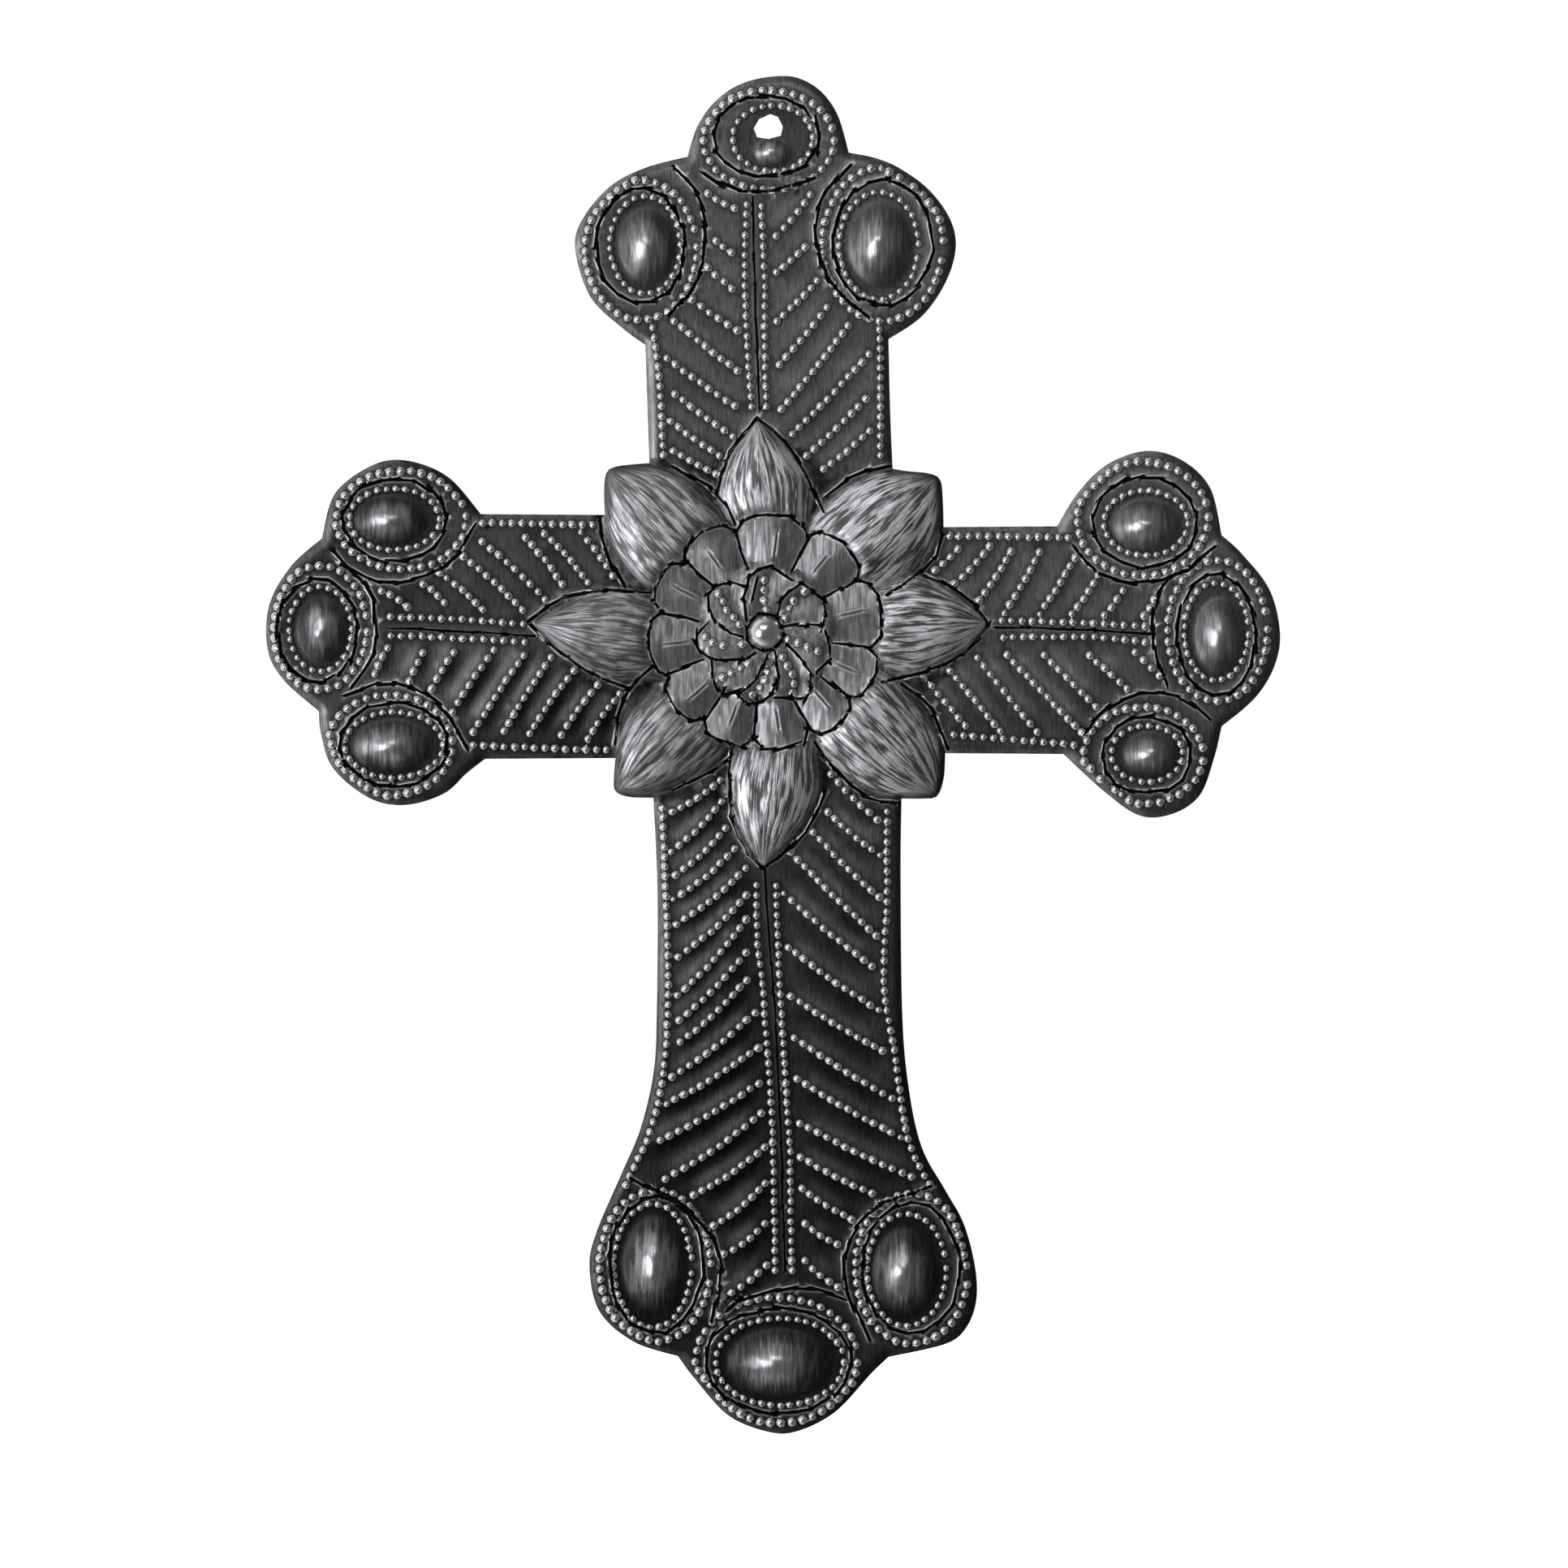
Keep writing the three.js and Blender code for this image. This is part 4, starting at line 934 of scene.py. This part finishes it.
def surface_net(face):
    """All the points of the front or the back, the cut edge and the hole first."""
    sizes = NETS[face]
    net = Net(sizes["gap"])
    for x, z in [*cut_edge, *hole_edge]:
        net.add(x, z, 0)
    add_edge_bands(net, sizes["edge bands"])
    found = Net(NET_CELL)
    add_pearls(found, sizes["pearl rings"])
    if face == "front":
        add_strokes(found)
    add_field(found, sizes["fine"], sizes["fine"] * 0.6, on_raised_work)
    add_field(found, sizes["wide"], sizes["wide"] * 0.62, lambda x, z: inside(cut_edge, x, z))
    places = np.array(found.points)
    held = inside(cut_edge, *places.T) & ~inside(hole_edge, *places.T)
    held &= edge_distance(*places.T) > 0.35
    for x, z in places[held].tolist():
        net.add(x, z, PEARL_POINT_GAP)
    return np.array(net.points)


def sheet_faces(points):
    """Triangles over the points, inside the cut edge and outside the hole."""
    rim, hole = len(cut_edge), len(hole_edge)
    edges = [(i, (i + 1) % rim) for i in range(rim)]
    edges += [(rim + i, rim + (i + 1) % hole) for i in range(hole)]
    made = delaunay_2d_cdt([Vector(p) for p in points.tolist()], edges, [], 0, 1e-7)
    corners = np.array([tuple(v) for v in made[0]])
    faces = np.array(made[2])
    middles = corners[faces].mean(1)
    held = inside(cut_edge, *middles.T)
    near_hole = np.hypot(*middles.T) < HOLE_REACH
    held[near_hole] &= ~inside(hole_edge, *middles[near_hole].T)
    return corners, faces[held]


front_points, front_faces = sheet_faces(surface_net("front"))
back_points, back_faces = sheet_faces(surface_net("back"))
struck, marks = struck_height(*front_points.T, fine=True)
front_height = turned_height(*front_points.T, struck)
back_height = turned_height(*back_points.T, struck_height(*back_points.T, fine=False)[0])

front = np.stack([front_points[:, 0], -SHEET_THICKNESS - front_height, front_points[:, 1]], 1)
back = np.stack([back_points[:, 0], -back_height, back_points[:, 1]], 1)
first_back = len(front)
walls = []
for start, count in ((0, len(cut_edge)), (len(cut_edge), len(hole_edge))):
    for i in range(count):
        a, b = start + i, start + (i + 1) % count
        walls += [(a, first_back + b, b), (a, first_back + a, first_back + b)]
faces = [*map(tuple, front_faces), *map(tuple, back_faces[:, ::-1] + first_back), *walls]

sheet = bpy.data.meshes.new("worked_sheet")
sheet.from_pydata((np.vstack([front, back]) * MM).tolist(), [], [tuple(map(int, f)) for f in faces])
sheet.update()
sheet.polygons.foreach_set("use_smooth", [True] * len(sheet.polygons))
sheet.set_sharp_from_angle(angle=math.radians(SMOOTH_ANGLE))
cross = bpy.data.objects.new("worked_sheet", sheet)
bpy.context.scene.collection.objects.link(cross)


# The rubbing and the painted shading. With the relief done, petals, domes and pearls were rubbed
# back to bright steel in strokes that follow each petal. The mesh stores, place by place, how far
# it was rubbed, with painted light and shade mixed into that, the painted light and shade of the
# ground, darker in the hollows and on sides turned from the light, and the direction of the grain.
# Strengths of the painted light and shade on the ground and beside the petals, and of the painted
# highlight on the dome tops.
RAISED_PAINTED_LIGHT = 0.4
RIGHT_BORDER_PAINTED_LIGHT = 0.45
ARM_CORNER_PAINTED_SHADE = 0.55
DISH_PAINTED_SHADE = 0.5
LEFT_EDGE_PAINTED_LIGHT = 1.2
RIGHT_EDGE_PAINTED_SHADE = 0.55
BESIDE_PETALS_PAINTED_SHADE = 0.45
DOME_TOP_PAINTED_HIGHLIGHT = 0.17
DOME_PLAIN = 0.35


def edge_facing(x, z):
    """How far the nearest part of the cut edge lies to the right, from -1 to 1."""
    found = [edge_finder.find((a, b, 0)) for a, b in zip(x, z)]
    return np.array([(rim.x - a) / max(gap, 0.01) for a, (rim, _, gap) in zip(x, found)])


def paint_ground_shading(x, z, height, painted_shading):
    """Painted light and shade on the ground, over the painted shading beside its rows: lighter on
    raised work, at the left edges, near the right border of the lower arm and towards the right and
    the top; darker in the dishes, at the right edges and under the left arm."""
    edge, facing = edge_distance(x, z), edge_facing(x, z)
    border = bell(edge - 4.5, 3.5) * (x > 0) * np.clip((-z - 160) / 20, 0, 1)
    raised = np.clip(height, 0, 0.5) / 0.5
    painted_shading = painted_shading * (0.8 + RAISED_PAINTED_LIGHT * raised) + RIGHT_BORDER_PAINTED_LIGHT * border
    to_right = 0.002 + 0.004 * np.clip((z + 135) / 20, 0, 1)
    painted_shading *= 1.1 + to_right * x + 0.003 * np.clip(z + 125, -40, 60)
    corner = np.clip((x + 95) / 50, 0, 1) * (x < -30) * np.clip((-z - 128) / 8, 0, 1) * (z > -158)
    painted_shading *= 1 - ARM_CORNER_PAINTED_SHADE * corner
    for boss in BOSSES.values():
        painted_shading *= 1 - DISH_PAINTED_SHADE * np.clip(-ring_distance(boss["inner"], x, z) / 1.3, 0, 1)
    painted_shading += LEFT_EDGE_PAINTED_LIGHT * bell(edge - 0.7, 0.8) * np.clip(0.45 - 0.55 * facing, 0, 1)
    return painted_shading * (1 - RIGHT_EDGE_PAINTED_SHADE * np.clip(facing, 0, 1) * bell(edge, 1.8))


def finish_marks(x, z, height, painted_shading):
    """How far each place is rubbed bright, with painted light and shade mixed in, how plainly, its
    grain, and the painted shading again, with painted shade beside the long petals, on their
    flanks, most on the flank turned from the light, and near the cut edge."""
    rubbed_and_painted_light, plain = np.zeros(len(x)), np.zeros(len(x))
    rim = np.clip((edge_distance(x, z) - 0.3) / 2.4, 0.2, 1)
    grain = np.stack([x, z, 0 * x], 1)
    for number, petal in enumerate(LONG_PETALS.values(), 1):
        along, across = petal_share(petal, x, z)
        relief = petal_relief(petal, x, z)
        on = (relief >= height - 0.6) & (relief > 0.5)
        near = (np.abs(across) < 1.25) & (along > 0) & (along < 1.08)
        # Painted shade on the ground beside each long petal.
        painted_shading[near & ~on & (height < 1)] *= BESIDE_PETALS_PAINTED_SHADE
        length, ux, uz = petal_axis(petal)
        grain[on] = np.stack([across * petal[2], along * length, 0 * x + 20 * number], 1)[on]
        # Rubbed along the crown. The flank turned from the light, the part near the cut edge and
        # the petals on the left are left darker, as painted shade.
        away = across * math.copysign(1, 0.8 * uz + 0.6 * ux) > 0
        crown = 1 - np.abs(across) ** np.where(away, 1.9, 3.2)
        crown -= np.clip((along - 0.7) / 0.3, 0, 1) ** 4
        crown = np.clip(2.2 * crown, 0, 1)
        rubbed_and_painted_light[on] = (crown * rim * np.clip(0.82 + 0.011 * x, 0.4, 1))[on]
        painted_shading[on] *= (0.25 + 0.75 * crown * rim**1.5)[on]
    radius, degrees = flower_polar(x, z)
    number, share = ring_shares(degrees)
    # Painted shadow on the long petals where they run under the ring.
    rubbed_and_painted_light *= np.clip((radius - ring_rim(share)) / 2.6, 0.25, 1)
    ring = radius < ring_rim(share)
    rubbed_and_painted_light[ring] = plain[ring] = 1
    grain[ring] = np.stack([x, z, 0 * x + 300 + 9 * number], 1)[ring]
    for boss in BOSSES.values():
        # The dome tops are rubbed bright, partly real rubbing and partly a painted highlight, which
        # is stronger on the domes to the left.
        share = dome_share(boss, x, z)
        crown = np.clip(1 - share**2, 0, 1) ** 3
        rubbed_and_painted_light = np.maximum(rubbed_and_painted_light, crown * np.clip(0.85 - 0.003 * x, 0.6, 1))
        plain[share < 1] = DOME_PLAIN
    return rubbed_and_painted_light, plain, grain, painted_shading


def polish_and_painted_highlight(x, z):
    """The knob, rubbed as bright as the pearls, and a little of it on top of the domes as a painted
    highlight.
    """
    polish_and_highlight_share = np.clip(1 - (flower_polar(x, z)[0] / KNOB_RADIUS) ** 2, 0, 1)
    for boss in BOSSES.values():
        crown = np.clip(1 - dome_share(boss, x, z) ** 2, 0, 1) ** 3
        polish_and_highlight_share = np.maximum(polish_and_highlight_share, DOME_TOP_PAINTED_HIGHLIGHT * crown)
    return polish_and_highlight_share


marks["pearl"] = np.maximum(marks["pearl"], polish_and_painted_highlight(*front_points.T))
# Painted light and shade over the ground.
marks["painted_shading"] = paint_ground_shading(*front_points.T, struck, marks["painted_shading"])
marks["rubbed_and_painted_light"], marks["plain"], grain, marks["painted_shading"] = finish_marks(
    *front_points.T, front_height, marks["painted_shading"]
)
for name, values in marks.items():
    on_back = np.full(len(back), 1.0 if name == "painted_shading" else 0.0)
    layer = sheet.attributes.new(name, "FLOAT", "POINT")
    layer.data.foreach_set("value", np.r_[values, on_back])
back_grain = np.insert(back_points, 2, 500, axis=1)
layer = sheet.attributes.new("grain", "FLOAT_VECTOR", "POINT")
layer.data.foreach_set("vector", np.ravel(np.vstack([grain, back_grain])))


# The finish. Blackened steel under clear lacquer. The petals, domes and pearls are rubbed back to
# bright metal in long strokes, and the ground stays dark with a fine upright grain. Over this lie
# painted light and shade on the ground, round the feet of the pearls, in the grooves and over the
# lower arm, and painted highlights on the burr, the crease lips and the dome tops.
GROUND_TONE = 0.158
RUBBED_TONE = 0.95
PLAIN_TONE = 0.27
PEARL_TONE = 0.85
# A painted highlight along the burr of the strokes and the lips of the creases.
BURR_PAINTED_HIGHLIGHT = 0.85
# Painted shade in the chisel grooves and the cores of the creases.
GROOVE_PAINTED_SHADE = 0.012
BRIGHTEST = 0.96
# Painted shade over the lower arm.
LOWER_ARM_PAINTED_SHADE = 0.42
# Painted shadow round the foot of each pearl.
PEARL_FOOT_PAINTED_SHADOW = 0.42
STREAK_CONTRAST = 8.0
STEEL_TINT = {"Red": 0.97, "Green": 0.985, "Blue": 1.02}
PEARL_ROUGHNESS = 0.22
GROOVE_ROUGHNESS = 0.75
BUMP_STRENGTH = 0.35
BUMP_DISTANCE = 0.0002


def new_group(name, inputs, outputs):
    """An empty shader node group with named sockets."""
    group = bpy.data.node_groups.new(name, "ShaderNodeTree")
    for socket, kind, value in inputs:
        made = group.interface.new_socket(socket, in_out="INPUT", socket_type=kind)
        if value is not None:
            made.default_value = value
    for socket, kind in outputs:
        group.interface.new_socket(socket, in_out="OUTPUT", socket_type=kind)
    return group, group.nodes.new("NodeGroupInput"), group.nodes.new("NodeGroupOutput")


def add_node(tree, kind, **settings):
    """A node with its inputs and properties set by name."""
    node = tree.nodes.new(kind)
    for name, value in settings.items():
        if name in node.inputs:
            node.inputs[name].default_value = value
        else:
            setattr(node, name, value)
    return node


def feed(tree, socket, value):
    """Sets a socket to a number, or links it to another node's output."""
    if isinstance(value, (int, float)):
        socket.default_value = value
    else:
        tree.links.new(value, socket)


def math_node(tree, operation, a, b, clamp=False):
    """A Math node's output, with numbers or sockets as its inputs."""
    node = add_node(tree, "ShaderNodeMath", operation=operation, use_clamp=clamp)
    for socket, value in zip(node.inputs, (a, b)):
        feed(tree, socket, value)
    return node.outputs[0]


def map_range(tree, value, *limits):
    """A Map Range node's output: the lowest and highest value, and what they become."""
    node = tree.nodes.new("ShaderNodeMapRange")
    for name, limit in zip(("From Min", "From Max", "To Min", "To Max"), limits):
        node.inputs[name].default_value = limit
    tree.links.new(value, node.inputs["Value"])
    return node.outputs["Result"]


def mix_value(tree, share, low, high):
    """A Mix node's output, low where the share is 0 and high where it is 1."""
    node = add_node(tree, "ShaderNodeMix", data_type="FLOAT")
    for socket, value in zip((node.inputs[0], node.inputs[2], node.inputs[3]), (share, low, high)):
        feed(tree, socket, value)
    return node.outputs[0]


def stretched_noise(tree, vector, stretch, detail, roughness=0.55):
    """Noise drawn out along the grain, scaled across it, along it and on the third axis."""
    scaled = add_node(tree, "ShaderNodeVectorMath", operation="MULTIPLY")
    scaled.inputs[1].default_value = stretch
    tree.links.new(vector, scaled.inputs[0])
    spots = add_node(tree, "ShaderNodeTexNoise", Scale=1.0, Detail=detail, Roughness=roughness)
    tree.links.new(scaled.outputs[0], spots.inputs["Vector"])
    return spots.outputs["Fac"]


streaks, streaks_in, streaks_out = new_group(
    "brushed streaks",
    [("Grain", "NodeSocketVector", None), ("Contrast", "NodeSocketFloat", 1.0)],
    [("Streak", "NodeSocketFloat"), ("Fine", "NodeSocketFloat"), ("Cloud", "NodeSocketFloat")],
)
grain_in, contrast_in = streaks_in.outputs["Grain"], streaks_in.outputs["Contrast"]
wide = stretched_noise(streaks, grain_in, (0.85, 0.11, 1.0), 2.0)
narrow = stretched_noise(streaks, grain_in, (2.0, 0.16, 1.0), 4.0, 0.65)
wide = math_node(streaks, "MULTIPLY", wide, 0.55)
narrow = math_node(streaks, "MULTIPLY", narrow, 0.45)
centred = math_node(streaks, "SUBTRACT", math_node(streaks, "ADD", wide, narrow), 0.5)
pushed = math_node(streaks, "MULTIPLY", centred, contrast_in)
fine = stretched_noise(streaks, grain_in, (3.6, 0.22, 1.0), 4.0, 0.75)
cloud = stretched_noise(streaks, grain_in, (0.09, 0.09, 1.0), 3.0)
streaks.links.new(math_node(streaks, "ADD", pushed, 0.5, clamp=True), streaks_out.inputs["Streak"])
streaks.links.new(fine, streaks_out.inputs["Fine"])
streaks.links.new(cloud, streaks_out.inputs["Cloud"])

steel = bpy.data.materials.new("blackened_steel")
steel.use_nodes = True
tree = steel.node_tree
shader = tree.nodes["Principled BSDF"]
shader.inputs["Metallic"].default_value = 1.0


def stored(name, output="Fac"):
    return add_node(tree, "ShaderNodeAttribute", attribute_name=name).outputs[output]


def times(a, b):
    return math_node(tree, "MULTIPLY", a, b)


brushing = tree.nodes.new("ShaderNodeGroup")
brushing.node_tree = streaks
brushing.inputs["Contrast"].default_value = STREAK_CONTRAST
tree.links.new(stored("grain", "Vector"), brushing.inputs["Grain"])
streak, fine, clouds = (brushing.outputs[name] for name in ("Streak", "Fine", "Cloud"))
rubbed_and_painted_light, plain, pearl = stored("rubbed_and_painted_light"), stored("plain"), stored("pearl")
groove, burr, foot = stored("groove"), stored("burr"), stored("foot")

place = add_node(tree, "ShaderNodeTexCoord")
up_the_cross = tree.nodes.new("ShaderNodeSeparateXYZ")
tree.links.new(place.outputs["Object"], up_the_cross.inputs[0])
ground = times(map_range(tree, clouds, 0.3, 0.7, 0.8, 1.25), GROUND_TONE)
ground = times(ground, map_range(tree, fine, 0.3, 0.7, 0.4, 1.65))
# Painted light and shade on the ground: beside the rows, at the edges, in the dishes and beside the
# petals.
ground = times(ground, stored("painted_shading"))
up = up_the_cross.outputs["Z"]
# Painted shade, darker towards the foot of the cross.
ground = times(ground, map_range(tree, up, -0.23, -0.14, LOWER_ARM_PAINTED_SHADE, 1.0))
bright = map_range(tree, math_node(tree, "POWER", streak, 1.5), 0.0, 0.9, 0.15, 1.35)
bright = times(bright, map_range(tree, clouds, 0.3, 0.6, 0.65, 1.1))
bright = times(bright, RUBBED_TONE)
plain_tone = times(map_range(tree, fine, 0.3, 0.7, 0.4, 1.6), PLAIN_TONE)
bright = mix_value(tree, times(plain, 0.8), bright, plain_tone)
# Rubbed bright metal over the ground, carrying the painted light and shade of the rubbed mark.
tone = mix_value(tree, rubbed_and_painted_light, ground, bright)
# Painted shadow round the foot of each pearl.
tone = times(tone, map_range(tree, foot, 0.2, 1, 1, PEARL_FOOT_PAINTED_SHADOW))
# Pearls and the knob are rubbed bright; on the dome tops this is a painted highlight.
tone = mix_value(tree, map_range(tree, pearl, 0.05, 0.3, 0, 1), tone, PEARL_TONE)
# Painted highlight along the burr and the crease lips.
tone = mix_value(tree, times(burr, 0.9), tone, BURR_PAINTED_HIGHLIGHT)
# Painted shade in the chisel grooves and the crease cores.
tone = mix_value(tree, map_range(tree, groove, 0.05, 0.5, 0, 1), tone, GROOVE_PAINTED_SHADE)
tone = math_node(tree, "MINIMUM", tone, BRIGHTEST)
colour = add_node(tree, "ShaderNodeCombineColor")
for channel, share in STEEL_TINT.items():
    tree.links.new(times(tone, share), colour.inputs[channel])
tree.links.new(colour.outputs[0], shader.inputs["Base Color"])

rough = map_range(tree, fine, 0.2, 0.8, 0.34, 0.46)
rough = mix_value(tree, rubbed_and_painted_light, rough, map_range(tree, streak, 0, 1, 0.52, 0.42))
rough = mix_value(tree, map_range(tree, pearl, 0, 0.3, 0, 1), rough, PEARL_ROUGHNESS)
rough = mix_value(tree, groove, rough, GROOVE_ROUGHNESS)
tree.links.new(rough, shader.inputs["Roughness"])

bump = add_node(tree, "ShaderNodeBump", Strength=BUMP_STRENGTH, Distance=BUMP_DISTANCE)
brushed = times(streak, math_node(tree, "SUBTRACT", rubbed_and_painted_light, plain, clamp=True))
relief = math_node(tree, "ADD", brushed, times(fine, 0.4))
relief = times(relief, map_range(tree, pearl, 0, 0.2, 1, 0.1))
tree.links.new(relief, bump.inputs["Height"])
tree.links.new(bump.outputs[0], shader.inputs["Normal"])
sheet.materials.append(steel)

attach(cross, "root")
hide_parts("hammered_sheet_cross")


# The studio. The cross hangs in front of nothing, above a pale floor, in a white surround. Soft
# light comes from the left and from above, a third light reaches the back, and the metal mirrors
# little from the right.
FLOOR_Z = -0.372
FLOOR_CORNERS = [(-1.2, -0.9), (1.2, -0.9), (1.2, 1.1), (-1.2, 1.1)]
FLOOR_TONE = 0.85
FLOOR_GLOW = 0.75
SURROUND_LEAST = 0.1
floor_mesh = bpy.data.meshes.new("floor")
floor_mesh.from_pydata([(x, y, FLOOR_Z) for x, y in FLOOR_CORNERS], [], [(0, 1, 2, 3)])
floor = bpy.data.objects.new("floor", floor_mesh)
bpy.context.scene.collection.objects.link(floor)
pale = bpy.data.materials.new("pale_floor")
pale.use_nodes = True
paint = pale.node_tree.nodes["Principled BSDF"]
paint.inputs["Base Color"].default_value = (FLOOR_TONE, FLOOR_TONE, FLOOR_TONE, 1)
paint.inputs["Roughness"].default_value = 0.8
paint.inputs["Emission Color"].default_value = (1, 1, 1, 1)
paint.inputs["Emission Strength"].default_value = FLOOR_GLOW
floor_mesh.materials.append(pale)
floor.visible_glossy = False

world = bpy.data.worlds.new("studio")
bpy.context.scene.world = world
world.use_nodes = True
sky = world.node_tree
sky.nodes.clear()
seen = sky.nodes.new("ShaderNodeBackground")
seen.inputs["Color"].default_value = (1, 1, 1, 1)
around = sky.nodes.new("ShaderNodeBackground")
direction = sky.nodes.new("ShaderNodeTexCoord")
parts = sky.nodes.new("ShaderNodeSeparateXYZ")
sky.links.new(direction.outputs["Generated"], parts.inputs[0])
to_front = map_range(sky, parts.outputs["Y"], -0.8, -0.2, 0, 0.75)
to_left = map_range(sky, parts.outputs["X"], -0.6, 0.35, 1, 0.05)
glow = math_node(sky, "MULTIPLY", to_front, to_left)
sky.links.new(math_node(sky, "ADD", glow, SURROUND_LEAST), around.inputs["Color"])
ray = sky.nodes.new("ShaderNodeLightPath")
either = sky.nodes.new("ShaderNodeMixShader")
sky.links.new(ray.outputs["Is Camera Ray"], either.inputs[0])
sky.links.new(around.outputs[0], either.inputs[1])
sky.links.new(seen.outputs[0], either.inputs[2])
sky_end = sky.nodes.new("ShaderNodeOutputWorld")
sky.links.new(either.outputs[0], sky_end.inputs["Surface"])

LIGHTS_AIM = Vector((0.0, 0.0, -0.15))


def soft_light(name, place, size, power):
    """A rectangle of light, hidden from the camera and turned towards the cross."""
    lamp = bpy.data.lights.new(name, "AREA")
    lamp.shape = "RECTANGLE"
    lamp.size, lamp.size_y = size
    lamp.energy = power
    light = bpy.data.objects.new(name, lamp)
    light.location = place
    light.rotation_euler = (LIGHTS_AIM - Vector(place)).to_track_quat("-Z", "Y").to_euler()
    light.visible_camera = False
    bpy.context.scene.collection.objects.link(light)


soft_light("window_left", (-1.1, -1.5, -0.38), (0.6, 0.9), 12)
soft_light("ceiling", (-0.25, -1.6, 0.6), (1.0, 0.45), 3.2)
soft_light("behind", (0.3, 2.2, 0.4), (1.2, 1.2), 14)

CAMERA_DISTANCE = 2.0
FRAME_WIDTH = 0.3864
FRAME_MIDDLE = (0.004, -0.003, -0.162)
camera_data = bpy.data.cameras.new("camera")
camera_data.sensor_width = 36
camera_data.lens = camera_data.sensor_width * CAMERA_DISTANCE / FRAME_WIDTH
camera = bpy.data.objects.new("camera", camera_data)
camera.location = (FRAME_MIDDLE[0], FRAME_MIDDLE[1] - CAMERA_DISTANCE, FRAME_MIDDLE[2])
camera.rotation_euler = (math.radians(90), 0, 0)
bpy.context.scene.collection.objects.link(camera)
bpy.context.scene.camera = camera
bpy.context.scene.view_settings.view_transform = "Standard"
